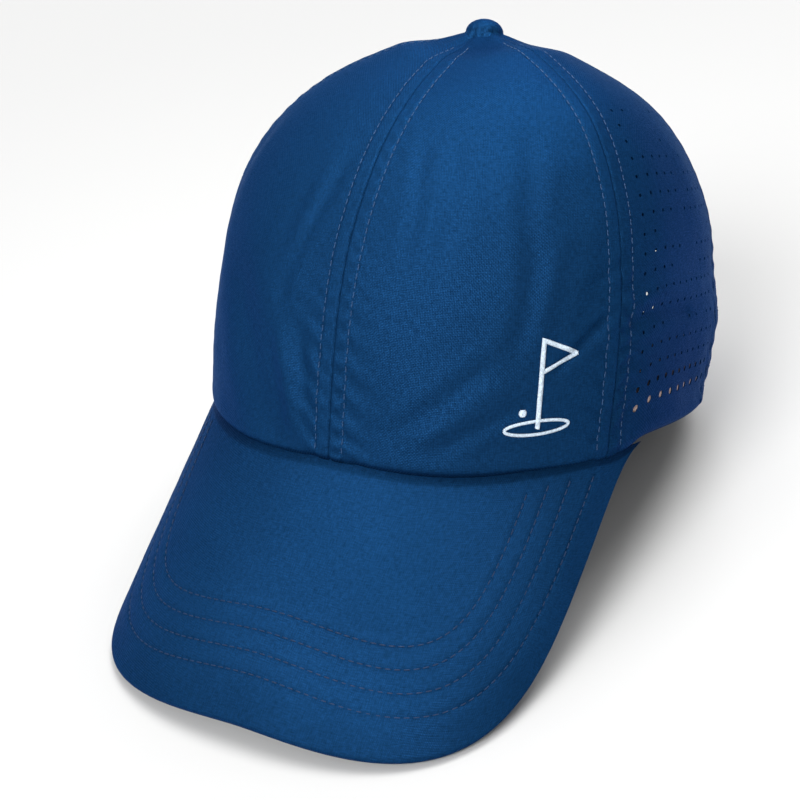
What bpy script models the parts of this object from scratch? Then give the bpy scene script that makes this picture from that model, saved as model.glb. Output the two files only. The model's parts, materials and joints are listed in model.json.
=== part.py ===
"""Six-panel cap with a curved brim, standing on its brim and the back of its rim.

The crown is six sewn panels round a vertical crown axis. The cap's own frame has its origin at
the middle of the head opening, +X to the wearer's left, -Y to the front and +Z up the crown axis.
Everything is modelled in that frame, under one empty that pitches the whole cap back until it
stands on the brim's front corners and on the rim at the back.

Angles round the crown are measured from the front towards the wearer's left. A level runs up
the crown wall, from 0 at the hem to 1 at the apex. A depth is a distance in from the surface.
"""

import bmesh
import bpy
import math
from mathutils import Matrix, Vector

MM = 0.001
DEG = math.pi / 180

# Crown: driving dimensions.
HALF_WIDTH = 82 * MM
FRONT_REACH = 83.2 * MM
BACK_REACH = 107.6 * MM
CROWN_HEIGHT = 124.3 * MM
FRONT_RIM_POWER = 2.36
BACK_RIM_POWER = 2.2
FRONT_PROFILE = (3.73, 1.254)
SIDE_PROFILE = (4.03, 1.805)
BACK_PROFILE = (1.887, 1.898)
HEM_TUCK = 0.0134
HEM_TUCK_LEVEL = 0.23

# Seams between the six panels, and the layers of the crown wall as (outer depth, inner depth).
SIDE_SEAM = 62.5 * DEG
REAR_SEAM = 120 * DEG
PANEL = (0, 0.8 * MM)
INTERFACING = (1.3 * MM, 1.7 * MM)
REAR_TAPE = (1.3 * MM, 1.7 * MM)
FRONT_TAPE = (2.2 * MM, 2.6 * MM)
FOAM = (3.1 * MM, 4.5 * MM)
SEAM_GAP = 0.3 * MM
TOP_HOLE_RADIUS = 3.2 * MM
TAPE_WIDTH = 12 * MM
TAPE_FOOT = 1 * MM
TAPE_TOP_RADIUS = 7 * MM
TAPE_TOP_HALF_ANGLE = 22 * DEG
INTERFACING_FOOT = 3 * MM
INTERFACING_TOP = 0.8
INTERFACING_MARGIN = 2 * MM
FOAM_HALF_ANGLE = 56 * DEG
FOAM_HEIGHTS = (4 * MM, 28 * MM)
ROW_CROWDING = 1.5

# Brim: an arch in width, sloping down and forwards.
BRIM_ARCH_RADIUS = 80.8 * MM
BRIM_ARCH_LIMIT = 0.94
BRIM_ARCH_FLATTENING = 5.06
BRIM_SLOPE = 58.65 * DEG
BRIM_CORNER = 74 * DEG
BRIM_REACH = 44.4 * MM
BRIM_HALF_WIDTH = 78.8 * MM
BRIM_SIDE_POWER = 0.80
BRIM_FRONT_POWER = 0.4155
BRIM_TIP_TRIM = 0.036
RIM_CORNER_ROUND = 4 * MM
BRIM_TOP = (0, 0.5 * MM)
BRIM_BOARD = (0.95 * MM, 2.45 * MM)
BRIM_UNDER = (2.9 * MM, 3.4 * MM)
BRIM_BOARD_INSET = 1.4 * MM
BRIM_EDGE_SEAM = 0.3 * MM
BRIM_SPAN = 0.985
BRIM_COLUMNS = 28
CONTACT_GAP = 0.35 * MM

# Half-moon opening at the back.
ARCH_HALF_ANGLE = 24 * DEG
ARCH_HEIGHT = 48 * MM
ARCH_POWER = 2.2
BINDING_WIDTH = 7 * MM
BINDING_CLOTH = 0.4 * MM
BINDING_FACES = (-0.3 * MM, 1.2 * MM)
BINDING_END = 86 * DEG

# Sweatband, with a pocket behind it at the back for the strap's ends.
SWEATBAND_HEIGHT = 31 * MM
SWEATBAND_LIFT = 1.5 * MM
SWEATBAND_DEPTH_FRONT = 5.0 * MM
SWEATBAND_DEPTH_BACK = 6.9 * MM
SWEATBAND_THICKNESS = 0.8 * MM
SWEATBAND_END = 155 * DEG
SWEATBAND_STEP = (100 * DEG, 125 * DEG)
LABEL_ANGLES = (104 * DEG, 122 * DEG)
LABEL_HEIGHTS = (6 * MM, 28 * MM)
LABEL_GAP = 0.4 * MM
LABEL_CLOTH = 0.3 * MM

# Strap and buckle, on a circle about an axis parallel to the crown axis.
STRAP_CENTRE_Y = 32 * MM
STRAP_RADIUS = 71.1 * MM
STRAP_THICKNESS = 1.2 * MM
STRAP_LOW = 7.5 * MM
STRAP_WIDTH = 16 * MM
STRAP_ENDS = (-48 * DEG, 50 * DEG)
BUCKLE_ANGLE = -14 * DEG
BUCKLE_HALF_LENGTH = 11.5 * MM
BUCKLE_WALL = 0.8 * MM
BUCKLE_FLOOR = (-1.7 * MM, -0.9 * MM)
BUCKLE_WALL_TOP = 4.0 * MM
BUCKLE_STRAP_GAP = 0.3 * MM
PIN_RADIUS = 0.9 * MM
PIN_CLEARANCE = 0.2 * MM
PIN_OUT = 2.6 * MM
LEVER_PIN_ALONG = -5.5 * MM
TAB_BAR_ALONG = -10 * MM
LEVER_LENGTH = 17 * MM
LEVER_KNUCKLE = 1.7 * MM
LEVER_PLATE = (3.3 * MM, 4.1 * MM)
LEVER_LIP = 5.0 * MM
TAB_GAP = 0.3 * MM
TAB_LOOP_CLOTH = 0.5 * MM
TAB_LEAF = (0.9 * MM, 1.38 * MM)
TAB_MARGIN = 0.4 * MM
TAB_END = -36 * DEG

# Button on the apex.
BUTTON_RADIUS = 6.6 * MM
BUTTON_HEIGHT = 5.6 * MM
BUTTON_SKIRT = 0.1 * MM
BUTTON_SKIRT_WALL = 0.6 * MM
BUTTON_HOLLOW = [(5.2 * MM, 1.2 * MM), (3.6 * MM, 2.4 * MM), (0, 2.6 * MM)]
STUD_RADIUS = 2 * MM
STUD_HEAD_RADIUS = 2.8 * MM
STUD_HEAD = (1.2 * MM, 2 * MM)
WASHER_RADIUS = 5 * MM
WASHER_UNDER = -4.6 * MM
WASHER_THICKNESS = 0.8 * MM

# Embroidered flagstick on the front left panel.
MOTIF_ANGLE = 44.5 * DEG
MOTIF_LIFT = 13.5 * MM
MOTIF_HEIGHT = 30 * MM
MOTIF_STICK = 1.8 * MM
MOTIF_PENNANT = 13 * MM
MOTIF_GREEN = 11 * MM
MOTIF_GREEN_HEIGHT = 5.2 * MM
MOTIF_PENNANT_DROP = 11 * MM
MOTIF_THREAD = (-0.9 * MM, -0.4 * MM)

NAVY = (0.012, 0.065, 0.19, 1)
DARK_NAVY = (0.006, 0.035, 0.11, 1)
WHITE = (0.80, 0.82, 0.84, 1)
BLACK = (0.03, 0.03, 0.035, 1)
STEEL = (0.55, 0.56, 0.58, 1)
LABEL = (0.75, 0.75, 0.73, 1)


# ---------------------------------------------------------------- surfaces

def rim_radius(angle):
    """Distance of the hem from the crown axis."""
    across, along = abs(math.sin(angle)), abs(math.cos(angle))
    front = math.cos(angle) > 0
    reach = FRONT_REACH if front else BACK_REACH
    power = FRONT_RIM_POWER if front else BACK_RIM_POWER
    return ((across / HALF_WIDTH) ** power + (along / reach) ** power) ** (-1 / power)


def brim_fall(x, y):
    """Height of the brim's upper face, from the middle of its inner edge."""
    forward = -FRONT_REACH - y
    limit = BRIM_ARCH_LIMIT * BRIM_ARCH_RADIUS
    inside = min(abs(x), limit)
    chord = math.sqrt(BRIM_ARCH_RADIUS ** 2 - inside ** 2)
    arch = BRIM_ARCH_RADIUS - chord + (abs(x) - inside) * limit / chord
    return -arch * (1 - BRIM_ARCH_FLATTENING * forward) - math.tan(BRIM_SLOPE) * forward


def rim_xy(angle):
    radius = rim_radius(angle)
    return radius * math.sin(angle), -radius * math.cos(angle)


FRONT_DROP = brim_fall(*rim_xy(BRIM_CORNER))


def rim_height(angle):
    """Height of the hem: level at the sides and back, on the brim at the front."""
    below = FRONT_DROP - brim_fall(*rim_xy(angle))
    return -(below + math.hypot(below, RIM_CORNER_ROUND)) / 2


def crown_profile(angle):
    """The two powers of the wall's profile at an angle, blended between front, side and back."""
    front = max(math.cos(angle), 0) ** 2
    back = max(-math.cos(angle), 0) ** 2
    side = 1 - front - back
    return [front * f + side * s + back * b
            for f, s, b in zip(FRONT_PROFILE, SIDE_PROFILE, BACK_PROFILE)]


def crown_surface(angle, level):
    """A point on the crown's outer surface."""
    rise, round_in = crown_profile(angle)
    low = min(level / HEM_TUCK_LEVEL, 1)
    bulge = 1 + HEM_TUCK * (1 - (1 - low) ** 2)
    radius = rim_radius(angle) * bulge * max(1 - level ** rise, 0) ** (1 / round_in)
    foot = rim_height(angle)
    height = foot + (CROWN_HEIGHT - foot) * level
    return Vector((radius * math.sin(angle), -radius * math.cos(angle), height))


def crown_point(angle, level, depth=0.0):
    """A point at a depth behind the crown's outer surface."""
    step = 0.004
    low, high = max(level - step, 0), min(level + step, 0.9995)
    round_the_crown = crown_surface(angle + step, level) - crown_surface(angle - step, level)
    up_the_wall = crown_surface(angle, high) - crown_surface(angle, low)
    outwards = round_the_crown.cross(up_the_wall).normalized()
    return crown_surface(angle, level) - depth * outwards


def level_at_radius(angle, radius):
    """Level near the top where the crown has narrowed to a radius."""
    rise, round_in = crown_profile(angle)
    share = min(radius / rim_radius(angle), 1)
    return (1 - share ** round_in) ** (1 / rise)


def level_at_height(angle, above_hem):
    return above_hem / (CROWN_HEIGHT - rim_height(angle))


def brim_outer_edge(turn):
    """Plan position of the brim's outer edge, for a turn from -90 to 90 degrees."""
    across, forward = abs(math.sin(turn)), abs(math.cos(turn))
    corner_y = rim_xy(BRIM_CORNER)[1]
    length = corner_y + FRONT_REACH + BRIM_REACH
    x = math.copysign(BRIM_HALF_WIDTH * across ** BRIM_SIDE_POWER, turn)
    return x, corner_y - length * forward ** BRIM_FRONT_POWER


def brim_edge_turns(count):
    """Turns that divide the outer edge into equal lengths."""
    fine = 1200
    turns = [(-1 + 2 * i / fine) * math.pi / 2 for i in range(fine + 1)]
    spots = [brim_outer_edge(turn) for turn in turns]
    run = [0.0]
    for before, after in zip(spots, spots[1:]):
        run.append(run[-1] + math.dist(before, after))
    chosen = []
    for i in range(count + 1):
        wanted = run[-1] * (BRIM_TIP_TRIM + (1 - 2 * BRIM_TIP_TRIM) * i / count)
        k = next(j for j, total in enumerate(run) if total >= wanted)
        chosen.append(turns[k])
    return chosen


def brim_point(turn, share, across, depth=0.0, inset=0.0):
    """A point of the brim: share 0 at the crown and 1 at the outer edge, across from -1 to 1."""
    inner = Vector((*rim_xy(across * BRIM_CORNER), 0))
    outer = Vector((*brim_outer_edge(turn), 0))
    spot = inner.lerp(outer, share) + inset * (inner - outer).normalized()
    lift = rim_height(across * BRIM_CORNER) - CONTACT_GAP
    lift -= brim_fall(inner.x, inner.y) - FRONT_DROP
    step = 0.2 * MM
    slope_x = (brim_fall(spot.x + step, spot.y) - brim_fall(spot.x - step, spot.y)) / (2 * step)
    slope_y = (brim_fall(spot.x, spot.y + step) - brim_fall(spot.x, spot.y - step)) / (2 * step)
    spot.z = brim_fall(spot.x, spot.y) - FRONT_DROP + lift * (1 - share) ** 2
    return spot - depth * Vector((-slope_x, -slope_y, 1)).normalized()


def strap_point(along, out, height):
    """A point round the strap's axis: along its arc from the centre back, out from its middle."""
    radius = STRAP_RADIUS + out
    turn = along / STRAP_RADIUS
    return Vector((radius * math.sin(turn), STRAP_CENTRE_Y + radius * math.cos(turn), height))


# ---------------------------------------------------------------- mesh tools

def material(name, colour, roughness, metallic=0.0):
    mat = bpy.data.materials.new(name)
    mat.use_nodes = True
    shader = mat.node_tree.nodes["Principled BSDF"]
    shader.inputs["Base Color"].default_value = colour
    shader.inputs["Roughness"].default_value = roughness
    shader.inputs["Metallic"].default_value = metallic
    return mat


def add_object(name, mesh, colour, roughness, metallic=0.0, origin=Vector((0, 0, 0))):
    """Add a mesh that is given in the cap's frame, with its own origin and material."""
    mesh.transform(Matrix.Translation(-origin))
    mesh.shade_smooth()
    mesh.set_sharp_from_angle(angle=40 * DEG)
    mesh.materials.append(material(name + "_material", colour, roughness, metallic))
    part = bpy.data.objects.new(name, mesh)
    part.location = origin
    part.parent = cap_frame
    bpy.context.collection.objects.link(part)
    return part


def finish_mesh(name, bm):
    bmesh.ops.recalc_face_normals(bm, faces=bm.faces)
    mesh = bpy.data.meshes.new(name)
    bm.to_mesh(mesh)
    bm.free()
    return mesh


def sheet_mesh(name, point, columns, rows):
    """A closed sheet: point(column, row, inner) gives its outer and inner faces."""
    bm = bmesh.new()
    faces = [[[bm.verts.new(point(i, j, inner)) for j in range(rows + 1)]
              for i in range(columns + 1)] for inner in (0, 1)]
    outer, inner = faces
    for i in range(columns):
        for j in range(rows):
            for side in faces:
                bm.faces.new((side[i][j], side[i + 1][j], side[i + 1][j + 1], side[i][j + 1]))
    edge = [(i, 0) for i in range(columns)] + [(columns, j) for j in range(rows)]
    edge += [(i, rows) for i in range(columns, 0, -1)] + [(0, j) for j in range(rows, 0, -1)]
    for (i, j), (m, n) in zip(edge, edge[1:] + edge[:1]):
        bm.faces.new((outer[i][j], outer[m][n], inner[m][n], inner[i][j]))
    return finish_mesh(name, bm)


def prism_mesh(name, outline, low, high):
    """A closed outline of (along, out) points, extruded up between two heights."""
    bm = bmesh.new()
    rings = [[bm.verts.new(strap_point(along, out, height)) for along, out in outline]
             for height in (low, high)]
    for ring in rings:
        bm.faces.new(ring)
    count = len(outline)
    for i in range(count):
        k = (i + 1) % count
        bm.faces.new((rings[0][i], rings[0][k], rings[1][k], rings[1][i]))
    return finish_mesh(name, bm)


def turned_mesh(name, profile, centre, sides=24):
    """A closed profile of (radius, height) turned round the crown's direction at a centre."""
    bm = bmesh.new()
    rings = []
    for radius, height in profile:
        if radius == 0:
            rings.append([bm.verts.new(centre + Vector((0, 0, height)))])
            continue
        spots = [Vector((radius * math.cos(2 * math.pi * i / sides),
                         radius * math.sin(2 * math.pi * i / sides), height)) for i in range(sides)]
        rings.append([bm.verts.new(centre + spot) for spot in spots])
    for lower, upper in zip(rings, rings[1:]):
        for i in range(sides):
            k = (i + 1) % sides
            corners = [lower[i % len(lower)], lower[k % len(lower)],
                       upper[k % len(upper)], upper[i % len(upper)]]
            bm.faces.new(list(dict.fromkeys(corners)))
    return finish_mesh(name, bm)


def cut(part, name, centre, radius, low, high):
    """Bore a round hole up through a part."""
    profile = [(0, low), (radius, low), (radius, high), (0, high)]
    cutter = add_object(name, turned_mesh(name, profile, centre, 16), STEEL, 0.4)
    cutter.hide_render = True
    cutter.display_type = "WIRE"
    bore = part.modifiers.new("bore", "BOOLEAN")
    bore.operation = "DIFFERENCE"
    bore.object = cutter


# ---------------------------------------------------------------- crown

def wall_sheet(name, angles, levels, depths, columns, rows, colour, roughness):
    """A sheet of the crown wall; angles(level) and levels(angle) give its two limits."""
    def point(i, j, inner):
        rise = 1 - (1 - j / rows) ** ROW_CROWDING
        middle = sum(angles(0.5)) / 2
        bottom, top = levels(middle)
        first, last = angles(bottom + (top - bottom) * rise)
        angle = first + (last - first) * i / columns
        bottom, top = levels(angle)
        level = bottom + (top - bottom) * rise
        return crown_point(angle, level, depths[inner])
    return add_object(name, sheet_mesh(name, point, columns, rows), colour, roughness)


def wall_radius(angle, level):
    return crown_surface(angle, level).to_2d().length


def between_seams(first, last, margin):
    """Limits of a piece that stays a margin clear of the seams at its two sides."""
    def angles(level):
        radius = wall_radius((first + last) / 2, level)
        return first + margin / radius, last - margin / radius
    return angles


def full_wall(angle):
    return 0, level_at_radius(angle, TOP_HOLE_RADIUS)


def arch_foot(angle):
    """Height of the back opening's edge above the hem."""
    off_centre = abs(math.pi - abs(angle)) / ARCH_HALF_ANGLE
    return ARCH_HEIGHT * max(1 - off_centre ** ARCH_POWER, 0) ** (1 / ARCH_POWER)


def build_front_and_side_panels():
    spans = {"front_left_panel": (0, SIDE_SEAM), "front_right_panel": (-SIDE_SEAM, 0),
             "side_left_panel": (SIDE_SEAM, REAR_SEAM), "side_right_panel": (-REAR_SEAM, -SIDE_SEAM)}
    for name, (first, last) in spans.items():
        wall_sheet(name, between_seams(first, last, SEAM_GAP / 2), full_wall, PANEL, 8, 14,
                   NAVY, 0.7)


def build_back_panels():
    """Back panels: their columns crowd together where the opening's edge is steep."""
    arch_columns, plain_columns, rows = 8, 5, 14
    for side, name in ((1, "back_left_panel"), (-1, "back_right_panel")):
        def point(i, j, inner, side=side):
            rise = 1 - (1 - j / rows) ** ROW_CROWDING
            if i <= arch_columns:
                off_centre = ARCH_HALF_ANGLE * math.sin(i / arch_columns * math.pi / 2)
            else:
                off_centre = ARCH_HALF_ANGLE
                share = (i - arch_columns) / plain_columns
                off_centre += (math.pi - REAR_SEAM - ARCH_HALF_ANGLE) * share
            angle = math.pi - off_centre
            bottom = level_at_height(angle, arch_foot(angle))
            top = level_at_radius(angle, TOP_HOLE_RADIUS)
            level = bottom + (top - bottom) * rise
            trim = SEAM_GAP / 2 / wall_radius(angle, level)
            squeeze = 1 - 2 * trim / (math.pi - REAR_SEAM)
            angle = math.pi - trim - off_centre * squeeze
            return crown_point(side * angle, level, PANEL[inner])
        mesh = sheet_mesh(name, point, arch_columns + plain_columns, rows)
        add_object(name, mesh, NAVY, 0.7)


def build_interfacings():
    """Stiffening behind the two front panels."""
    def levels(angle):
        return level_at_height(angle, INTERFACING_FOOT), INTERFACING_TOP
    for side, name in ((1, "front_left_interfacing"), (-1, "front_right_interfacing")):
        first, last = sorted((side * 0.0, side * SIDE_SEAM))
        wall_sheet(name, between_seams(first, last, INTERFACING_MARGIN), levels, INTERFACING, 8, 12,
                   BLACK, 0.9)


def build_seam_tapes():
    """Binding tapes inside the six seams; they narrow where they meet under the button."""
    seams = {"front_seam_tape": (0, FRONT_TAPE, 0), "left_side_seam_tape": (SIDE_SEAM, FRONT_TAPE, 0),
             "right_side_seam_tape": (-SIDE_SEAM, FRONT_TAPE, 0),
             "left_rear_seam_tape": (REAR_SEAM, REAR_TAPE, 0),
             "right_rear_seam_tape": (-REAR_SEAM, REAR_TAPE, 0),
             "back_seam_tape": (math.pi, REAR_TAPE, ARCH_HEIGHT + BINDING_WIDTH + TAPE_FOOT)}
    for name, (seam, depths, foot) in seams.items():
        def levels(angle, foot=foot):
            top = level_at_radius(angle, TAPE_TOP_RADIUS)
            return level_at_height(angle, foot + TAPE_FOOT), top

        def angles(level, seam=seam):
            radius = wall_radius(seam, level)
            half = min(TAPE_WIDTH / 2 / radius, TAPE_TOP_HALF_ANGLE)
            return seam - half, seam + half
        wall_sheet(name, angles, levels, depths, 2, 14, DARK_NAVY, 0.8)


def build_arch_binding():
    """Folded strip round the edge of the back opening, with a leaf on each side of the cloth."""
    steps = 20
    cloth = BINDING_CLOTH
    front, back = BINDING_FACES
    outer_leaf = [(BINDING_WIDTH, front - cloth), (front - cloth, front - cloth),
                  (front - cloth, back + cloth), (BINDING_WIDTH, back + cloth)]
    inner_leaf = [(BINDING_WIDTH, front), (front, front), (front, back), (BINDING_WIDTH, back)]

    def edge_spot(turn):
        off_centre = ARCH_HALF_ANGLE * math.sin(turn)
        return off_centre, ARCH_HEIGHT * math.cos(turn) ** (2 / ARCH_POWER)

    def point(i, j, inner):
        turn = (-1 + 2 * i / steps) * BINDING_END
        off_centre, height = edge_spot(turn)
        over, depth = (inner_leaf if inner else outer_leaf)[j]
        radius = wall_radius(math.pi, 0.1)
        outwards = Vector((math.sin(turn) * ARCH_HEIGHT, math.cos(turn) * ARCH_HALF_ANGLE * radius))
        outwards.normalize()
        angle = math.pi - off_centre - over * outwards.x / radius
        level = level_at_height(angle, height + over * outwards.y)
        return crown_point(angle, max(level, 0), depth)
    add_object("back_arch_binding", sheet_mesh("back_arch_binding", point, steps, 3), NAVY, 0.7)


def sweatband_depth(angle):
    """Depth of the band: it steps in at the back to leave a pocket for the strap."""
    first, last = SWEATBAND_STEP
    share = min(max((abs(angle) - first) / (last - first), 0), 1)
    share = share * share * (3 - 2 * share)
    return SWEATBAND_DEPTH_FRONT + (SWEATBAND_DEPTH_BACK - SWEATBAND_DEPTH_FRONT) * share


def band_sheet(name, first, last, low, high, offset, columns, rows, colour, roughness):
    """A sheet that follows the sweatband between two heights above the hem."""
    def point(i, j, inner):
        angle = first + (last - first) * i / columns
        level = level_at_height(angle, low + (high - low) * j / rows)
        return crown_point(angle, level, sweatband_depth(angle) + offset[inner])
    return add_object(name, sheet_mesh(name, point, columns, rows), colour, roughness)


def build_sweatband():
    """Sweatband, and the blank care label sewn to its inner face."""
    top = SWEATBAND_LIFT + SWEATBAND_HEIGHT
    band_sheet("sweatband", -SWEATBAND_END, SWEATBAND_END, SWEATBAND_LIFT, top,
               (0, SWEATBAND_THICKNESS), 44, 3, DARK_NAVY, 0.8)
    face = SWEATBAND_THICKNESS + LABEL_GAP
    band_sheet("care_label", *LABEL_ANGLES, *LABEL_HEIGHTS, (face, face + LABEL_CLOTH), 6, 3,
               LABEL, 0.6)


def build_foam():
    """Thin pad between the forehead part of the band and the crown."""
    def angles(level):
        return -FOAM_HALF_ANGLE, FOAM_HALF_ANGLE

    def levels(angle):
        return [level_at_height(angle, height) for height in FOAM_HEIGHTS]
    wall_sheet("forehead_foam", angles, levels, FOAM, 16, 2, BLACK, 0.95)


# ---------------------------------------------------------------- brim

def brim_sheet(name, outer_rows, inner_rows, colour, roughness):
    """A layer of the brim; each row is (share, depth, inset) on its outer or inner face."""
    turns = brim_edge_turns(BRIM_COLUMNS)

    def point(i, j, inner):
        share, depth, inset = (inner_rows if inner else outer_rows)[j]
        across = -1 + 2 * i / BRIM_COLUMNS
        return brim_point(turns[i], share, across * BRIM_SPAN, depth, inset)
    mesh = sheet_mesh(name, point, BRIM_COLUMNS, len(outer_rows) - 1)
    add_object(name, mesh, colour, roughness)


def build_brim():
    """Stiff board between two cloth covers, whose turned edges meet round its outer edge."""
    shares = [0, 0.25, 0.5, 0.75]
    cloth = BRIM_TOP[1]
    middle = (BRIM_TOP[0] + BRIM_UNDER[1]) / 2
    for name, face, back, end, colour in (
            ("brim_top_cover", BRIM_TOP[0], BRIM_TOP[1], middle - BRIM_EDGE_SEAM / 2, NAVY),
            ("brim_under_cover", BRIM_UNDER[1], BRIM_UNDER[0], middle + BRIM_EDGE_SEAM / 2, NAVY)):
        outer = [(share, face, 0) for share in shares] + [(1, face, 0), (1, end, 0)]
        inner = [(share, back, 0) for share in shares] + [(1, back, cloth), (1, end, cloth)]
        brim_sheet(name, outer, inner, colour, 0.7)
    rows = [(share, 0, 0) for share in shares] + [(1, 0, BRIM_BOARD_INSET)]
    outer = [(share, BRIM_BOARD[0], inset) for share, _, inset in rows]
    inner = [(share, BRIM_BOARD[1], inset) for share, _, inset in rows]
    brim_sheet("brim_board", outer, inner, BLACK, 0.5)


# ---------------------------------------------------------------- button and embroidery

def build_button():
    """Cloth-covered cap on the apex, held by a stud and washer from inside."""
    apex = Vector((0, 0, CROWN_HEIGHT))
    dome = [(BUTTON_RADIUS * math.sin(turn * DEG), BUTTON_HEIGHT * math.cos(turn * DEG))
            for turn in (0, 15, 30, 45, 60, 75, 90)]
    skirt = [(BUTTON_RADIUS, -BUTTON_SKIRT), (BUTTON_RADIUS - BUTTON_SKIRT_WALL, -BUTTON_SKIRT)]
    profile = dome + skirt + BUTTON_HOLLOW
    add_object("top_button", turned_mesh("top_button", profile, apex, 28), NAVY, 0.7)
    washer_top = WASHER_UNDER + WASHER_THICKNESS
    neck, head = STUD_HEAD
    stud = [(0, WASHER_UNDER), (WASHER_RADIUS, WASHER_UNDER), (WASHER_RADIUS, washer_top),
            (STUD_RADIUS, washer_top + 0.3 * MM), (STUD_RADIUS, neck - 0.2 * MM),
            (STUD_HEAD_RADIUS, neck), (STUD_HEAD_RADIUS, head), (0, head)]
    add_object("button_stud", turned_mesh("button_stud", stud, apex, 20), STEEL, 0.35, 1.0)


def motif_limits(height):
    """Left and right limit of the embroidered figure at a height: green, stick and pennant."""
    half_green = MOTIF_GREEN_HEIGHT / 2
    half_drop = MOTIF_PENNANT_DROP / 2
    half = MOTIF_STICK / 2
    off = (height - half_green) / half_green
    green = MOTIF_GREEN * math.sqrt(max(1 - off * off, 0))
    reach = MOTIF_PENNANT * (1 - abs(height - (MOTIF_HEIGHT - half_drop)) / half_drop)
    return -max(half, green), max(half, green, reach)


def build_motif():
    """Raised thread in the outline of a flagstick on its green."""
    heights = [0, 1.2, 2.6, 4, 5.2, 9, 13, 17, 19, 20.5, 22.5, 24.5, 26.5, 28.5, 30]

    def point(i, j, inner):
        height = heights[j] * MM
        left, right = motif_limits(height)
        aside = left + (right - left) * i / 4
        level = level_at_height(MOTIF_ANGLE, MOTIF_LIFT + height)
        angle = MOTIF_ANGLE + aside / wall_radius(MOTIF_ANGLE, level)
        return crown_point(angle, level, MOTIF_THREAD[inner])
    mesh = sheet_mesh("embroidered_motif", point, 4, len(heights) - 1)
    add_object("embroidered_motif", mesh, WHITE, 0.5)


# ---------------------------------------------------------------- strap and buckle

def build_strap():
    """Strap across the back opening."""
    low, high = STRAP_LOW, STRAP_LOW + STRAP_WIDTH
    half = STRAP_THICKNESS / 2

    def point(i, j, inner):
        turn = STRAP_ENDS[0] + (STRAP_ENDS[1] - STRAP_ENDS[0]) * i / 26
        return strap_point(turn * STRAP_RADIUS, -half if inner else half, (low, high)[j])
    origin = Vector((0, STRAP_CENTRE_Y, 0))
    add_object("strap", sheet_mesh("strap", point, 26, 1), NAVY, 0.7, origin=origin)


def buckle_along(offset):
    return BUCKLE_ANGLE * STRAP_RADIUS + offset


def build_buckle():
    """Channel round the strap, with a pin for the lever and a bar for the cloth tab."""
    low, high = STRAP_LOW - BUCKLE_STRAP_GAP, STRAP_LOW + STRAP_WIDTH + BUCKLE_STRAP_GAP
    wall = BUCKLE_WALL
    floor_in, floor_out = BUCKLE_FLOOR
    outside = [(BUCKLE_WALL_TOP, low - wall), (floor_in, low - wall),
               (floor_in, high + wall), (BUCKLE_WALL_TOP, high + wall)]
    inside = [(BUCKLE_WALL_TOP, low), (floor_out, low), (floor_out, high), (BUCKLE_WALL_TOP, high)]

    def point(i, j, inner):
        out, height = (inside if inner else outside)[j]
        along = buckle_along(BUCKLE_HALF_LENGTH * (-1 + i / 4))
        return strap_point(along, out, height)
    frame = add_object("buckle_frame", sheet_mesh("buckle_frame", point, 8, 3), STEEL, 0.3, 1.0)
    ends = (low - wall, high + wall)
    for name, offset in (("buckle_lever_pin", LEVER_PIN_ALONG), ("buckle_tab_bar", TAB_BAR_ALONG)):
        centre = strap_point(buckle_along(offset), PIN_OUT, 0)
        profile = [(0, ends[0]), (PIN_RADIUS, ends[0]), (PIN_RADIUS, ends[1]), (0, ends[1])]
        add_object(name, turned_mesh(name, profile, centre, 16), STEEL, 0.3, 1.0)
        cut(frame, name + "_bore", centre, PIN_RADIUS + PIN_CLEARANCE,
            ends[0] - 1 * MM, ends[1] + 1 * MM)


def build_lever():
    """Flip lever that clamps the strap: a knuckle on its pin, and a curved plate with a lip."""
    pin = buckle_along(LEVER_PIN_ALONG)
    tip = pin + LEVER_LENGTH
    middle = pin + LEVER_LENGTH / 2
    under, over = LEVER_PLATE
    ring = [(pin + LEVER_KNUCKLE * math.cos(turn * DEG), PIN_OUT + LEVER_KNUCKLE * math.sin(turn * DEG))
            for turn in range(90, 331, 30)]
    outline = [(tip, LEVER_LIP), (tip - 1.6 * MM, over), (middle, over)]
    outline += ring
    outline += [(pin + 2.8 * MM, under - 0.1 * MM), (middle, under), (tip - 1.2 * MM, under),
                (tip + 0.4 * MM, LEVER_LIP - 0.6 * MM)]
    mesh = prism_mesh("buckle_lever", outline, STRAP_LOW, STRAP_LOW + STRAP_WIDTH)
    axis = strap_point(pin, PIN_OUT, 0)
    lever = add_object("buckle_lever", mesh, STEEL, 0.3, 1.0, origin=axis)
    cut(lever, "buckle_lever_bore", axis, PIN_RADIUS + PIN_CLEARANCE,
        STRAP_LOW - 1 * MM, STRAP_LOW + STRAP_WIDTH + 1 * MM)


def build_tab():
    """Cloth tab sewn in beside the opening, hooked round the buckle's bar."""
    bar = buckle_along(TAB_BAR_ALONG)
    inner = PIN_RADIUS + TAB_GAP
    outer = inner + TAB_LOOP_CLOTH
    end = TAB_END * STRAP_RADIUS
    leaf_in, leaf_out = TAB_LEAF
    turns = range(-90, 211, 30)
    outline = [(bar + outer * math.cos(t * DEG), PIN_OUT + outer * math.sin(t * DEG)) for t in turns]
    outline += [(bar + inner * math.cos(t * DEG), PIN_OUT + inner * math.sin(t * DEG))
                for t in reversed(turns)]
    outline += [(bar - 2 * MM, leaf_in + TAB_LOOP_CLOTH + 0.1 * MM)]
    outline += [(end + (bar - end) * share, leaf_out) for share in (0.66, 0.33, 0)]
    outline += [(end + (bar - end) * share, leaf_in) for share in (0, 0.33, 0.66)]
    low = STRAP_LOW + TAB_MARGIN
    mesh = prism_mesh("buckle_tab", outline, low, low + STRAP_WIDTH - 2 * TAB_MARGIN)
    add_object("buckle_tab", mesh, NAVY, 0.7)


# ---------------------------------------------------------------- standing

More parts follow.
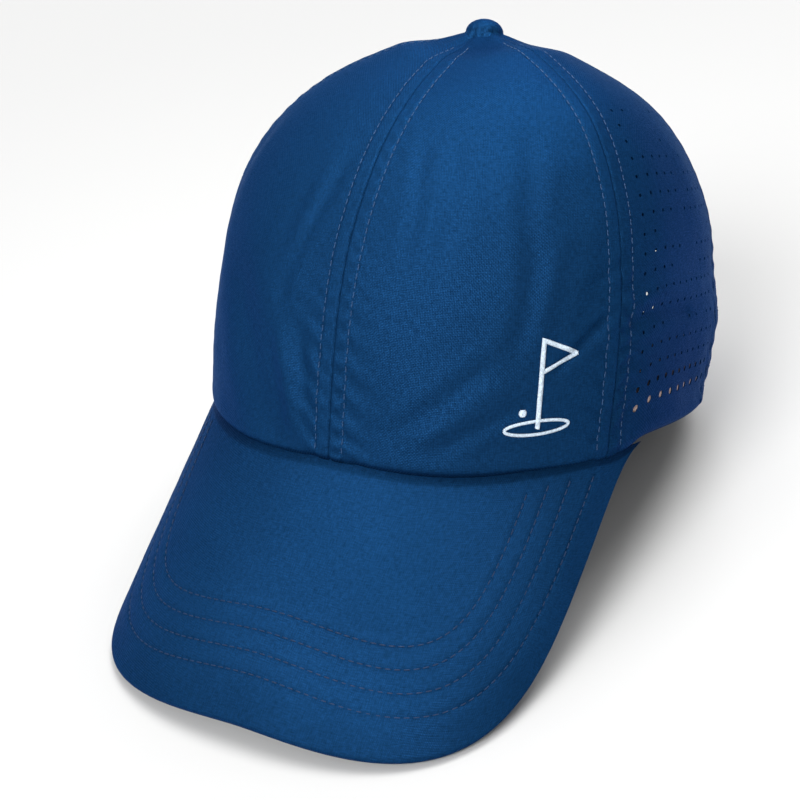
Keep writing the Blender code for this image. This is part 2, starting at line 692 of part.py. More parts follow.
def stand_up():
    """Pitch the cap back until brim and rim are level, and put the origin under its middle."""
    bpy.context.view_layer.update()
    spots = []
    for part in cap_frame.children:
        if not part.hide_render:
            spots += [part.matrix_world @ vertex.co for vertex in part.data.vertices]
    pitch = 0.0
    for _ in range(6):
        fall = Vector((-math.sin(pitch), math.cos(pitch)))
        front = min((spot for spot in spots if spot.y < 0), key=lambda s: fall.dot(s.yz))
        back = min((spot for spot in spots if spot.y > 0), key=lambda s: fall.dot(s.yz))
        pitch = math.atan2(back.z - front.z, back.y - front.y)
    turn = Matrix.Rotation(-pitch, 4, "X")
    turned = [turn @ spot for spot in spots]
    low = [min(spot[k] for spot in turned) for k in range(3)]
    high = [max(spot[k] for spot in turned) for k in range(3)]
    middle = Vector(((low[0] + high[0]) / 2, (low[1] + high[1]) / 2, low[2]))
    cap_frame.matrix_world = Matrix.Translation(-middle) @ turn


for old in list(bpy.data.objects):
    bpy.data.objects.remove(old)

cap_frame = bpy.data.objects.new("cap_frame", None)
bpy.context.collection.objects.link(cap_frame)

build_front_and_side_panels()
build_back_panels()
build_interfacings()
build_seam_tapes()
build_arch_binding()
build_sweatband()
build_foam()
build_brim()
build_button()
build_motif()
build_strap()
build_buckle()
build_lever()
build_tab()
stand_up()
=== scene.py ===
"""Looks of the six-panel cap: cloth, stitching, band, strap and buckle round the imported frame.

Pieces are worked out in the cap's own frame and then turned into the row frame. The cap's frame
has its origin at the middle of the head opening, +X to the wearer's left, -Y to the front and +Z
up the crown axis. Angles round the crown run from the front towards the wearer's left. A level
runs up the crown wall, from 0 at the hem to 1 at the apex. A run is the distance up the wall
from the hem, and a depth is a distance in from the crown's plain surface.
"""

import json
import math

import bmesh
import bpy
import numpy as np
from mathutils import Matrix


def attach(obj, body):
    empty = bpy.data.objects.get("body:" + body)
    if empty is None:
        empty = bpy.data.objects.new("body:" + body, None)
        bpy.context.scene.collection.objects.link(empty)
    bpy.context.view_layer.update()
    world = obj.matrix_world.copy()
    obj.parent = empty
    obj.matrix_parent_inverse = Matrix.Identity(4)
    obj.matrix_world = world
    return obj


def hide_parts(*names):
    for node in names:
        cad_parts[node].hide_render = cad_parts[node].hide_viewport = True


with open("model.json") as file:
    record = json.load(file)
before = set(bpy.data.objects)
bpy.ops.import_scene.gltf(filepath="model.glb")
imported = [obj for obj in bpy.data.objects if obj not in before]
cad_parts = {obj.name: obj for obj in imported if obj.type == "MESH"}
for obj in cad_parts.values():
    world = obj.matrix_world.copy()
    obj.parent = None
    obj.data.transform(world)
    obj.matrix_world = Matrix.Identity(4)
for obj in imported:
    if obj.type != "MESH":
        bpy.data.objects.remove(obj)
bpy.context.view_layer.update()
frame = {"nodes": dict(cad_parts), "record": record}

MM = 0.001
DEG = math.pi / 180

# The cap's frame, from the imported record.
MOUNT = next(mount for mount in frame["record"]["mounts"] if mount["name"] == "head_opening")
CAP_ORIGIN = np.array(MOUNT["pos_m"])
CAP_UP = -np.array(MOUNT["axis"])
CAP_AXES = np.array([(1, 0, 0), np.cross(CAP_UP, (1, 0, 0)), CAP_UP])

# Crown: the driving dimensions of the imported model.
HALF_WIDTH = 82 * MM
FRONT_REACH = 83.2 * MM
BACK_REACH = 107.6 * MM
CROWN_HEIGHT = 124.3 * MM
FRONT_RIM_POWER = 2.36
BACK_RIM_POWER = 2.2
FRONT_PROFILE = (3.73, 1.254)
SIDE_PROFILE = (4.03, 1.805)
BACK_PROFILE = (1.887, 1.898)
HEM_TUCK = 0.0134
HEM_TUCK_LEVEL = 0.23
SIDE_SEAM = 62.5 * DEG
REAR_SEAM = 120 * DEG
SEAMS = (0, SIDE_SEAM, REAR_SEAM, math.pi, -REAR_SEAM, -SIDE_SEAM)
TOP_HOLE_RADIUS = 3.2 * MM
INTERFACING_FOOT = 3 * MM
INTERFACING_TOP = 0.8
INTERFACING_MARGIN = 2 * MM
FRONT_TAPE_DEPTH = 2.2 * MM
TAPE_WIDTH = 12 * MM
TAPE_CLOTH = 0.4 * MM
TAPE_FOOT = 1 * MM
TAPE_TOP_RADIUS = 7 * MM
TAPE_TOP_HALF_ANGLE = 22 * DEG
FOAM_DEPTHS = (3.1 * MM, 4.5 * MM)
FOAM_HALF_ANGLE = 56 * DEG
FOAM_HEIGHTS = (4 * MM, 28 * MM)

# Crown cloth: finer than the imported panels, with its hem a little clear of the brim in front.
PANEL_CLOTH = 0.3 * MM
SEAM_GAP = 0.06 * MM
BACKING_DEPTH = 1.35 * MM
INTERFACING_CLOTH = 0.35 * MM
HEM_LIFT = (0.2 * MM, 1.3 * MM)
HEM_LIFT_SPAN = (40 * DEG, 58 * DEG)
STITCHES_END_RADIUS = 15 * MM

# Columns and rows of the larger meshes; a back panel has columns over the opening and beside it.
FRONT_GRID = (120, 210)
SIDE_GRID = (150, 290)
BACK_GRID = (76, 88, 250)
BRIM_TOP_GRID = (290, 125)
BRIM_UNDER_GRID = (200, 80)

# Unevenness that every layer of the crown shares: rise, wavelength and place in the noise.
UNEVENNESS = ((0.6 * MM, 38 * MM, 0), (0.25 * MM, 15 * MM, 1), (0.07 * MM, 5.5 * MM, 9))

# Sewn seams, in millimetres: depth of the seam line and of a stitch row, how much deeper a stitch
# pulls each, and their half widths; then the pressed-open allowance and the puckers beside it.
SEAM_DENT = (0.34, 0.20, 0.45 * MM)
ROW_DENT = (0.22, 0.24, 0.55 * MM)
ALLOWANCE_RISE = 0.30
ALLOWANCE_EDGE = (4.6 * MM, 6.4 * MM)
LADDER_RISE = 0.45
LADDER_PITCH = 6.4 * MM
PUCKER_RISE = 0.42
PUCKER_PITCH = 8.5 * MM
PUCKER_SLANT = 2.6 * MM
PUCKER_REACH = 6 * MM
PUCKERS_START = (3.5 * MM, 6.5 * MM)
PUCKERS_CALM = (30 * MM, 65 * MM)
SIDE_SEAMS_CALM = (45 * MM, 70 * MM)
SEAMS_FADE = (10 * MM, 24 * MM)
STITCH_PULL_POWER = 12

# Brim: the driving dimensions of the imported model.
BRIM_ARCH_RADIUS = 80.8 * MM
BRIM_ARCH_LIMIT = 0.94
BRIM_ARCH_FLATTENING = 5.06
BRIM_SLOPE = 58.65 * DEG
BRIM_CORNER = 74 * DEG
BRIM_REACH = 44.4 * MM
BRIM_HALF_WIDTH = 78.8 * MM
BRIM_SIDE_POWER = 0.80
BRIM_FRONT_POWER = 0.4155
BRIM_TIP_TRIM = 0.036
BRIM_SPAN = 0.985
BRIM_DEPTH = 3.4 * MM
BRIM_CLOTH = 0.5 * MM
BRIM_EDGE_ROUND = 1.3 * MM
BRIM_TUCK_IN = 3.2 * MM
RIM_CORNER_ROUND = 4 * MM
CONTACT_GAP = 0.35 * MM

# Back opening, band, strap and buckle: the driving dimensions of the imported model.
ARCH_HALF_ANGLE = 24 * DEG
ARCH_HEIGHT = 48 * MM
ARCH_POWER = 2.2
BINDING_WIDTH = 7 * MM
BINDING_CLOTH = 0.4 * MM
SWEATBAND_HEIGHT = 31 * MM
SWEATBAND_LIFT = 1.5 * MM
SWEATBAND_DEPTHS = (5.0 * MM, 6.9 * MM)
SWEATBAND_CLOTH = 0.8 * MM
SWEATBAND_END = 155 * DEG
SWEATBAND_STEP = (100 * DEG, 125 * DEG)
LABEL_ANGLES = (104 * DEG, 122 * DEG)
LABEL_HEIGHTS = (6 * MM, 28 * MM)
STRAP_CENTRE_Y = 32 * MM
STRAP_RADIUS = 71.1 * MM
STRAP_THICKNESS = 1.2 * MM
STRAP_LOW = 7.5 * MM
STRAP_WIDTH = 16 * MM
STRAP_ENDS = (-48 * DEG, 50 * DEG)
BUCKLE_ANGLE = -14 * DEG
TAB_BAR_ALONG = -10 * MM
TAB_END = -36 * DEG
PIN_RADIUS = 0.9 * MM
PIN_OUT = 2.6 * MM
BUTTON_RADIUS = 6.6 * MM
BUTTON_HEIGHT = 5.6 * MM
BUTTON_FOOT = 1.0 * MM

# Finish of those pieces: the band's stitches and its pale backing behind the side panels' low
# holes, then the binding, the strap, the tab, the button's (reach, height) rings and the buckle.
SWEATBAND_STITCHES_DOWN = 3.4 * MM
BACKING_STARTS = (67 * DEG, 71 * DEG)
BACKING_ENDS = (109 * DEG, 114 * DEG)
BACKING_BELOW = (2 * MM, 8 * MM)
BACKING_ABOVE = (17 * MM, 22 * MM)
BINDING_HALF_TURN = 89.2 * DEG
BINDING_STITCHED_HALF_TURN = 84 * DEG
BINDING_ARC_RADIUS = 62 * MM
BINDING_STITCH_ROWS = (1.6 * MM, 5.6 * MM)
STRAP_STITCHES_IN = 2 * MM
TAB_CLOTH = 0.46 * MM
BUTTON_FLARE = ((1.25, -0.62), (1.06, -0.16))
BUTTON_DOME = 0.97
EDGE_ROUND = 0.22 * MM

# Sewing.
STITCH_PITCH = 2.9 * MM
STITCH_LENGTH = 2.3 * MM
STITCH_HALF_WIDTH = 0.2 * MM
STITCH_OFFSET = 5 * MM
ROWS_CONVERGE_AT = 30 * MM
TIGHT_PITCH = 3.2 * MM
TIGHT_LENGTH = 2.6 * MM
BRIM_ROWS = 4
BRIM_ROW_OUTER = (74.6 * MM, 96.4 * MM)
BRIM_ROW_STEP = (4.35 * MM, 3.55 * MM)
BRIM_ROW_SIDE_POWER = 0.69
BRIM_ROW_FRONT_POWERS = (0.42, -0.042)
BRIM_ROW_POINTS = 0.5 * MM
BRIM_ROW_DENT = (0.20, 0.32, 0.5 * MM)

# Laser-cut holes of the side and back panels.
HOLE_RADIUS = 0.6 * MM
LOW_HOLE_RADIUS = (1.2 * MM, 0.95 * MM)
HOLE_FIRST_RUN = 13.5 * MM
HOLE_ROW_STEP = 5.95 * MM
HOLE_PITCH = 5.6 * MM
HOLE_MARGIN = 11 * MM
HOLE_LAST_RUN = 113 * MM

# Embroidery: sizes of the green's edge, the ball and the pennant, and the widths of the strokes.
GREEN_MIDDLE = 2.6 * MM
GREEN_REACH = (10.3 * MM, 2.1 * MM)
BALL_MIDDLE = (-5 * MM, 7.6 * MM)
BALL_RADIUS = 1.2 * MM
PENNANT = ((0.4 * MM, -0.8 * MM), (11.6 * MM, -5.6 * MM), (0.4 * MM, -10.4 * MM))
SATIN_PITCH = 0.30 * MM
SATIN_SLANT = 0.35
STROKE_RISE = 0.55 * MM
BALL_RISE = 0.5 * MM
STICK_FOOT = 2.4 * MM
STICK_SHARE = 11 / 24
STICK_WIDTH = 1.5 * MM
GREEN_WIDTH = 1.0 * MM
PENNANT_WIDTH = 1.4 * MM

# Soft folds of the worn crown, from one end to the other:
# angle and height in degrees and millimetres, twice, then half width and rise in millimetres.
FOLDS = (
    (14, 98, 15, 74, 2.4, -0.34),
    (24, 98, 23, 71, 2.6, -0.34),
    (42, 100, 40, 45, 3.2, -0.50),
    (48, 70, 43, 45, 3.2, 0.45),
    (55, 74, 50, 48, 4.0, 0.45),
    (58, 45, 49, 35, 1.9, -1.0),
    (32, 34, 18, 17, 2.8, -0.50),
    (41, 23, 28, 13, 2.2, -0.35),
    (36, 28, 23, 15, 2.6, 0.30),
    (-10, 92, -15, 55, 2.4, -0.40),
    (-14, 81, -14, 63, 3.2, 0.30),
    (-29, 45, -17, 13, 7.0, -1.00),
    (-14, 35, -11, 16, 2.6, 0.75),
    (-9, 37, -7, 22, 2.2, -0.60),
    (63, 63, 57, 59, 1.8, -0.45),
    (69, 43, 92, 39, 2.6, -0.80),
    (68, 50, 99, 47, 3.4, 0.60),
    (100, 33, 130, 31, 9.0, 1.10),
    (104, 5, 126, 3, 6.0, -1.00),
    (-66, 60, -90, 54, 3.4, -0.60),
    (-95, 46, -110, 46, 3.4, 0.50),
    (-52, 92, -50, 60, 5.0, -0.60),
    (-128, 36, -112, 25, 3.2, -0.60),
    (146, 96, 150, 70, 4.0, -0.60),
    (-150, 95, -155, 70, 4.0, -0.60),
)

# Camera, from the cap's frame.
CAMERA_AZIMUTH = 30 * DEG
CAMERA_ELEVATION = 11.26 * DEG
CAMERA_ROLL = 3.97 * DEG
CAMERA_DISTANCE = 517.5 * MM
CAMERA_AIM = (0, -40 * MM, 30 * MM)
CAMERA_AIM_SHIFT = (-0.3 * MM, -28.2 * MM)
CAMERA_LENS = 69.56

# Studio: each sun is name, azimuth, elevation, spread and strength.
SUNS = (
    ("front", -2 * DEG, 38 * DEG, 28 * DEG, 0.80),
    ("behind", 178 * DEG, 52 * DEG, 40 * DEG, 0.66),
)
SOFTBOX_SIZE = 300 * MM
SOFTBOX_HEIGHT = 480 * MM
SOFTBOX_POWER = 0.9
WORLD_LIGHT = 0.48
FLOOR_REACH = 4.0
FLOOR_SHADES = ((0.59, 0.59, 0.59, 1), (0.61, 0.61, 0.606, 1))

NOISE_SIZE = 32
NOISE_TABLE = np.random.default_rng(7).uniform(-1, 1, (NOISE_SIZE,) * 3)


# ---------------------------------------------------------------- surfaces of the cap

def to_row(points):
    return CAP_ORIGIN + points @ CAP_AXES


def smooth(low, high, value):
    """0 below low, 1 above high, and a smooth step between them."""
    share = np.clip((value - low) / (high - low), 0, 1)
    return share * share * (3 - 2 * share)


def bell(offset, half_width):
    return np.exp(-(offset / half_width) ** 2)


def unit(vectors):
    return vectors / np.maximum(np.linalg.norm(vectors, axis=-1, keepdims=True), 1e-12)


def pair(first, second):
    """Two arrays as the two coordinates of flat spots."""
    return np.stack(np.broadcast_arrays(first, second), -1)


def run_along(points):
    """Distance along a row of points, from its start."""
    steps = np.linalg.norm(np.diff(points, axis=0), axis=1)
    return np.concatenate([[0], np.cumsum(steps)])


def left_of(along):
    """Flat directions turned a quarter turn to the left."""
    return np.stack([-along[:, 1], along[:, 0]], -1)


def direction(azimuth, elevation):
    """Unit vector; azimuth runs from the front towards the wearer's left."""
    level = math.cos(elevation)
    return np.array([math.sin(azimuth) * level, -math.cos(azimuth) * level, math.sin(elevation)])


def noise(points, wavelength, shift=0):
    """Smooth noise from -1 to 1."""
    spot = points / wavelength + shift * 5.3
    low = np.floor(spot).astype(int)
    share = spot - low
    share = share * share * (3 - 2 * share)
    total = 0
    for corner in np.ndindex(2, 2, 2):
        weight = np.prod(np.where(corner, share, 1 - share), axis=-1)
        index = (low + corner) % NOISE_SIZE
        total = total + weight * NOISE_TABLE[index[..., 0], index[..., 1], index[..., 2]]
    return total


def rim_radius(angle):
    """Distance of the hem from the crown axis."""
    across, along = np.abs(np.sin(angle)), np.abs(np.cos(angle))
    front = np.cos(angle) > 0
    reach = np.where(front, FRONT_REACH, BACK_REACH)
    power = np.where(front, FRONT_RIM_POWER, BACK_RIM_POWER)
    return ((across / HALF_WIDTH) ** power + (along / reach) ** power) ** (-1 / power)


def rim_xy(angle):
    radius = rim_radius(angle)
    return radius * np.sin(angle), -radius * np.cos(angle)


def brim_fall(x, y):
    """Height of the brim's upper face, from the middle of its inner edge."""
    forward = -FRONT_REACH - y
    limit = BRIM_ARCH_LIMIT * BRIM_ARCH_RADIUS
    inside = np.minimum(np.abs(x), limit)
    chord = np.sqrt(BRIM_ARCH_RADIUS ** 2 - inside ** 2)
    arch = BRIM_ARCH_RADIUS - chord + (np.abs(x) - inside) * limit / chord
    return -arch * (1 - BRIM_ARCH_FLATTENING * forward) - math.tan(BRIM_SLOPE) * forward


FRONT_DROP = brim_fall(*rim_xy(BRIM_CORNER))


def rim_height(angle):
    """Height of the hem: level at the sides and back, on the brim at the front."""
    below = FRONT_DROP - brim_fall(*rim_xy(angle))
    return -(below + np.hypot(below, RIM_CORNER_ROUND)) / 2


def crown_profile(angle):
    """The two powers of the wall's profile, blended between front, side and back."""
    front = np.maximum(np.cos(angle), 0) ** 2
    back = np.maximum(-np.cos(angle), 0) ** 2
    side = 1 - front - back
    return [front * f + side * s + back * b
            for f, s, b in zip(FRONT_PROFILE, SIDE_PROFILE, BACK_PROFILE)]


def crown_surface(angle, level):
    """Points on the crown's plain outer surface."""
    angle, level = np.broadcast_arrays(np.asarray(angle, float), np.asarray(level, float))
    rise, round_in = crown_profile(angle)
    low = np.minimum(level / HEM_TUCK_LEVEL, 1)
    bulge = 1 + HEM_TUCK * (1 - (1 - low) ** 2)
    narrowing = np.maximum(1 - np.maximum(level, 0) ** rise, 0) ** (1 / round_in)
    radius = rim_radius(angle) * bulge * narrowing
    foot = rim_height(angle)
    height = foot + (CROWN_HEIGHT - foot) * level
    return np.stack([radius * np.sin(angle), -radius * np.cos(angle), height], -1)


def crown_normal(angle, level):
    step = 0.004
    low, high = np.maximum(level - step, 0), np.minimum(level + step, 0.9995)
    round_the_crown = crown_surface(angle + step, level) - crown_surface(angle - step, level)
    up_the_wall = crown_surface(angle, high) - crown_surface(angle, low)
    return unit(np.cross(round_the_crown, up_the_wall))


def crown_point(angle, level, depth):
    """Points at a depth behind the crown's plain surface."""
    depth = np.asarray(depth, float)[..., None]
    return crown_surface(angle, level) - depth * crown_normal(angle, level)


def level_at_radius(angle, radius):
    rise, round_in = crown_profile(angle)
    share = np.minimum(radius / rim_radius(angle), 1)
    return (1 - share ** round_in) ** (1 / rise)


def level_at_height(angle, above_hem):
    return above_hem / (CROWN_HEIGHT - rim_height(angle))


class Meridian:
    """The crown wall at one angle: how level, run and radius go together."""

    def __init__(self, angle):
        self.levels = 1 - (1 - np.linspace(0, 1, 1001)) ** 2
        spots = crown_surface(angle, self.levels)
        self.runs = run_along(spots)
        self.radii = np.hypot(spots[:, 0], spots[:, 1])

    def level(self, run):
        return np.interp(run, self.runs, self.levels)

    def run(self, level):
        return np.interp(level, self.levels, self.runs)

    def radius(self, run):
        return np.interp(run, self.runs, self.radii)


SEAM_LINES = [Meridian(seam) for seam in SEAMS]


def row_offset(radius):
    """Distance of a stitch row from its seam; the rows close in towards the button."""
    return STITCH_OFFSET * np.minimum(radius / ROWS_CONVERGE_AT, 1)


def wrapped(angle):
    return np.mod(angle + math.pi, 2 * math.pi) - math.pi


def fold_relief(angle, height, radius, fold):
    """One fold: a valley or a ridge along a line, with shoulders beside it."""
    first_angle, first_height, last_angle, last_height, half_width, rise = fold
    reach_aside = (last_angle - first_angle) * DEG * radius
    reach_up = (last_height - first_height) * MM
    aside = wrapped(angle - first_angle * DEG) * radius
    up = height - first_height * MM
    length = np.hypot(reach_aside, reach_up)
    along = (aside * reach_aside + up * reach_up) / length
    across = (aside * reach_up - up * reach_aside) / length
    beyond = np.maximum(np.maximum(-along, along - length), 0)
    width = half_width * MM
    profile = bell(across, width) - 0.4 * bell(np.abs(across) - 2.1 * width, width)
    return rise * MM * profile * bell(beyond, 2.2 * width)


def soft_relief(angle, level):
    """Broad unevenness and folds, which every layer of the crown shares; outwards is positive."""
    spots = crown_surface(angle, level)
    radius = np.hypot(spots[..., 0], spots[..., 1])
    height = spots[..., 2] - rim_height(angle)
    bent_angle = angle + 1.6 * MM * noise(spots, 16 * MM, 2) / np.maximum(radius, 5 * MM)
    out = sum(rise * noise(spots, wavelength, shift) for rise, wavelength, shift in UNEVENNESS)
    for fold in FOLDS:
        out = out + fold_relief(bent_angle, height, radius, fold)
    out = out * smooth(0, 6 * MM, height) * smooth(2 * MM, 12 * MM, radius)
    gathers = np.sin(9 * angle + 2.5 * noise(spots, 12 * MM, 3))
    out = out + 0.30 * MM * gathers * bell(radius - 9 * MM, 6 * MM)
    ring = 0.45 * MM * bell(radius - 28 * MM, 5 * MM) - 0.5 * MM * bell(radius - 17 * MM, 7 * MM)
    return out + ring + 1.6 * MM * bell(radius, 9 * MM)


def hem_lift(angle):
    """The hem stands clear of the brim in front."""
    least, most = HEM_LIFT
    return least + (most - least) * (1 - smooth(*HEM_LIFT_SPAN, np.abs(angle)))


def sewn_relief(angle, level):
    """Seams, pressed-open allowances, stitch rows and puckers of the outer cloth, and painted shade and
    light.
    """
    spots = crown_surface(angle, level)
    radius = np.hypot(spots[..., 0], spots[..., 1])
    height = spots[..., 2] - rim_height(angle)
    wander = noise(spots, 14 * MM, 4)
    out = -1.6 * MM * bell(height - hem_lift(angle), 1.3 * MM) + 0.3 * MM * bell(height - 5 * MM, 3 * MM)
    # Painted shadow: a dark line on the cloth along the hem's edge.
    painted_shading = -bell(height - hem_lift(angle), 0.5 * MM)
    for number, (seam, line) in enumerate(zip(SEAMS, SEAM_LINES)):
        calm = 1 if seam == 0 else 1 - 0.75 * smooth(*SIDE_SEAMS_CALM, height)
        run = line.run(level)
        aside = wrapped(angle - seam) * radius * STITCH_OFFSET / row_offset(np.maximum(radius, MM))
        apart = np.abs(aside)
        pulls = np.cos(math.pi * run / STITCH_PITCH) ** STITCH_PULL_POWER
        dents = 0
        for place, (depth, pull, half_width) in ((0, SEAM_DENT), (STITCH_OFFSET, ROW_DENT)):
            dents = dents - (depth + pull * pulls) * bell(apart - place, half_width)
        allowance = ALLOWANCE_RISE * (1 - smooth(*ALLOWANCE_EDGE, apart))
        ladder = np.sin(2 * math.pi * run / LADDER_PITCH + 3 * wander + number)
        ladder = ladder * np.sin(math.pi * np.clip(apart / STITCH_OFFSET, 0, 1))
        ladder = LADDER_RISE * calm * ladder * np.where(aside > 0, 1, 0.4)
        ladder = ladder * (0.7 + 0.6 * noise(spots, 22 * MM, 5))
        pulled = np.sin(2 * math.pi * run / PUCKER_PITCH + aside / PUCKER_SLANT + 3.5 * wander)
        pulled = PUCKER_RISE * pulled * np.exp(-np.maximum(apart - STITCH_OFFSET, 0) / PUCKER_REACH)
        low = 1 - 0.75 * smooth(*PUCKERS_CALM, height)
        pulled = pulled * calm * low * smooth(*PUCKERS_START, apart)
        fade = smooth(*SEAMS_FADE, radius)
        out = out + (dents + allowance + ladder + pulled) * MM * fade
        # Painted shade in the seam and row dents and in the ladders' and puckers' hollows, with painted
        # light on their ridges.
        painted_shading = painted_shading + (1.6 * dents + 0.6 * ladder + 0.4 * pulled) * fade
    # Painted shade round the button, out to a radius of about 27 mm.
    painted_shading = painted_shading - 0.7 * (1 - smooth(17 * MM, 27 * MM, radius))
    off_front = np.abs(angle)
    # Painted shadow along the hem in front, where it stands over the brim.
    shadow = 2 * bell(height - hem_lift(angle), 1.1 * MM) * (1 - smooth(62 * DEG, 72 * DEG, off_front))
    # Painted shade low on the side panels, fading out by about 50 mm up.
    painted_low_side_shade = bell(off_front - 92 * DEG, 26 * DEG) * (1 - smooth(14 * MM, 50 * MM, height))
    return out, np.clip(painted_shading, -1, 1) - shadow - 1.1 * painted_low_side_shade


def worn_cloth(angle, level):
    """Points on the outer cloth with its folds and seams, and the normals there."""
    out = soft_relief(angle, level) + sewn_relief(angle, level)[0]
    return crown_point(angle, level, -out), crown_normal(angle, level)


# ---------------------------------------------------------------- meshes

def add_object(name, data):
    thing = bpy.data.objects.new(name, data)
    bpy.context.scene.collection.objects.link(thing)
    return thing


def set_look(mesh, look):
    mesh.materials.clear()
    mesh.materials.append(look)


def unique_rows(faces, points):
    """Faces renumbered for the points that they use, and those points' numbers."""
    used = np.unique(np.concatenate([np.ravel(group) for group in faces]))
    renumber = np.zeros(len(points), int)
    renumber[used] = np.arange(len(used))
    return [renumber[group] for group in faces], used


def add_mesh(name, points, faces, looks, uv=None, painted_shading=None, look_of=None, sharp=50 * DEG):
    """A mesh object from points in the cap's frame; faces is a list of arrays of equal-sided faces."""
    faces, used = unique_rows(faces, points)
    points = to_row(points[used])
    listed = [face for group in faces for face in group.tolist()]
    mesh = bpy.data.meshes.new(name)
    mesh.from_pydata(points.tolist(), [], listed)
    if uv is not None:
        layer = mesh.uv_layers.new(name="cloth")
        corners = np.zeros(len(mesh.loops), int)
        mesh.loops.foreach_get("vertex_index", corners)
        layer.data.foreach_set("uv", uv[used][corners].astype(np.float32).ravel())
    # Per-point painted shade and light, which the woven cloth's colour follows.
    shade = np.zeros(len(used)) if painted_shading is None else painted_shading[used]
    attribute = mesh.attributes.new("painted_shading", "FLOAT", "POINT")
    attribute.data.foreach_set("value", shade.astype(np.float32))
    for look in looks:
        mesh.materials.append(look)
    if look_of is not None:
        mesh.polygons.foreach_set("material_index", look_of.astype(np.int32))
    mesh.shade_smooth()
    mesh.set_sharp_from_angle(angle=sharp)
    return add_object(name, mesh)


def cloth(name, outer, inner, spots, looks, keep=None, painted_shading=None, second_look=None):
    """A closed sheet between two grids of points.

    A cell is cut out where keep is false. Outer cells take the second look where asked, and both faces
    carry the painted shade and light given per point.
    """
    columns, rows = outer.shape[:2]
    if keep is None:
        keep = np.ones((columns - 1, rows - 1), bool)
    count = columns * rows
    index = np.arange(count).reshape(columns, rows)
    a, b, c, d = index[:-1, :-1], index[1:, :-1], index[1:, 1:], index[:-1, 1:]
    front = np.stack([a, b, c, d], -1)[keep]
    back = front[:, ::-1] + count
    beside = np.pad(keep, 1)
    sides = (((a, b), beside[1:-1, :-2]), ((b, c), beside[2:, 1:-1]),
             ((c, d), beside[1:-1, 2:]), ((d, a), beside[:-2, 1:-1]))
    walls = []
    for (start, end), neighbour in sides:
        open_side = keep & ~neighbour
        first, last = start[open_side], end[open_side]
        walls.append(np.stack([last, first, first + count, last + count], -1))
    walls = np.concatenate(walls)
    points = np.concatenate([outer.reshape(-1, 3), inner.reshape(-1, 3)])
    uv = np.concatenate([spots.reshape(-1, 2)] * 2)
    shade = None if painted_shading is None else np.concatenate([painted_shading.ravel()] * 2)
    look_of = np.zeros(2 * len(front) + len(walls))
    if second_look is not None:
        look_of[:len(front)] = second_look[keep]
    return add_mesh(name, points, [front, back, walls], looks, uv, shade, look_of)


def skin(name, rings, spots, look, sharp=50 * DEG):
    """A skin over a row of closed rings of points, with its two ends filled."""
    count, sides = rings.shape[:2]
    index = np.arange(count * sides).reshape(count, sides)
    after = np.roll(index, -1, axis=1)
    quads = np.stack([index[:-1], after[:-1], after[1:], index[1:]], -1).reshape(-1, 4)
    faces = [quads, index[:1, ::-1], index[-1:]]
    return add_mesh(name, rings.reshape(-1, 3), faces, [look], spots.reshape(-1, 2), sharp=sharp)


def tubes(name, centres, normals, half_widths, look, sides=6, flatness=0.8):
    """Many short threads in one mesh: each row of centres is one thread with rounded ends."""
    count, sections = centres.shape[:2]
    along = unit(np.gradient(centres, axis=1))
    across = unit(np.cross(along, normals))
    turns = np.arange(sides) * 2 * math.pi / sides
    ring = (np.cos(turns)[:, None] * across[:, :, None]
            + flatness * np.sin(turns)[:, None] * normals[:, :, None])
    points = centres[:, :, None] + half_widths[..., None, None] * ring
    index = np.arange(count * sections * sides).reshape(count, sections, sides)
    after = np.roll(index, -1, axis=2)
    quads = np.stack([index[:, :-1], index[:, 1:], after[:, 1:], after[:, :-1]], -1).reshape(-1, 4)
    ends = [index[:, 0], index[:, -1, ::-1]]
    return add_mesh(name, points.reshape(-1, 3), [quads, *ends], [look], sharp=80 * DEG)


def stitch_row(place, length, pitch=STITCH_PITCH, long=STITCH_LENGTH, start=0.0):
    """Centres, normals and half widths of one row; place(run) gives points and normals."""
    count = int((length - start) / pitch)
    across = np.linspace(-1, 1, 9)
    middles = start + (np.arange(count) + 0.5) * pitch
    runs = middles[:, None] + across * long / 2
    points, normals = place(runs)
    lift = (0.10 - 0.42 * np.abs(across) ** 5) * MM
    widths = STITCH_HALF_WIDTH * (1 - 0.45 * np.abs(across) ** 4)
    return points + lift[:, None] * normals, normals, np.broadcast_to(widths, runs.shape)


def sew(name, rows, look, body="crown"):
    """One piece from several stitch rows."""
    piece = tubes(name, *[np.concatenate(parts) for parts in zip(*rows)], look)
    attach(piece, body)
    return piece


# ---------------------------------------------------------------- materials

def add_node(tree, kind, settings=None, **inputs):
    """A node whose inputs, by socket name, are values or other nodes' outputs."""
    node = tree.nodes.new("ShaderNode" + kind)
    for name, value in (settings or {}).items():
        setattr(node, name, value)
    for name, value in inputs.items():
        plug_in(tree, node.inputs[name.replace("_", " ")], value)
    return node


def plug_in(tree, socket, value):
    if isinstance(value, bpy.types.NodeSocket):
        tree.links.new(value, socket)
    else:
        socket.default_value = value


def maths(tree, operation, first, second=0.0):
    node = tree.nodes.new("ShaderNodeMath")
    node.operation = operation
    for socket, value in zip(node.inputs, (first, second)):
        plug_in(tree, socket, value)
    return node.outputs[0]


def mix_of(tree, share, first, second, blend="MIX"):
    node = tree.nodes.new("ShaderNodeMix")
    node.data_type = "RGBA"
    node.blend_type = blend
    for socket, value in ((node.inputs[0], share), (node.inputs[6], first), (node.inputs[7], second)):
        plug_in(tree, socket, value)
    return node.outputs[2]


def spread_of(tree, value, low, high, to_low=0.0, to_high=1.0):
    node = add_node(tree, "MapRange", None, Value=value, From_Min=low, From_Max=high,
                    To_Min=to_low, To_Max=to_high)
    return node.outputs["Result"]


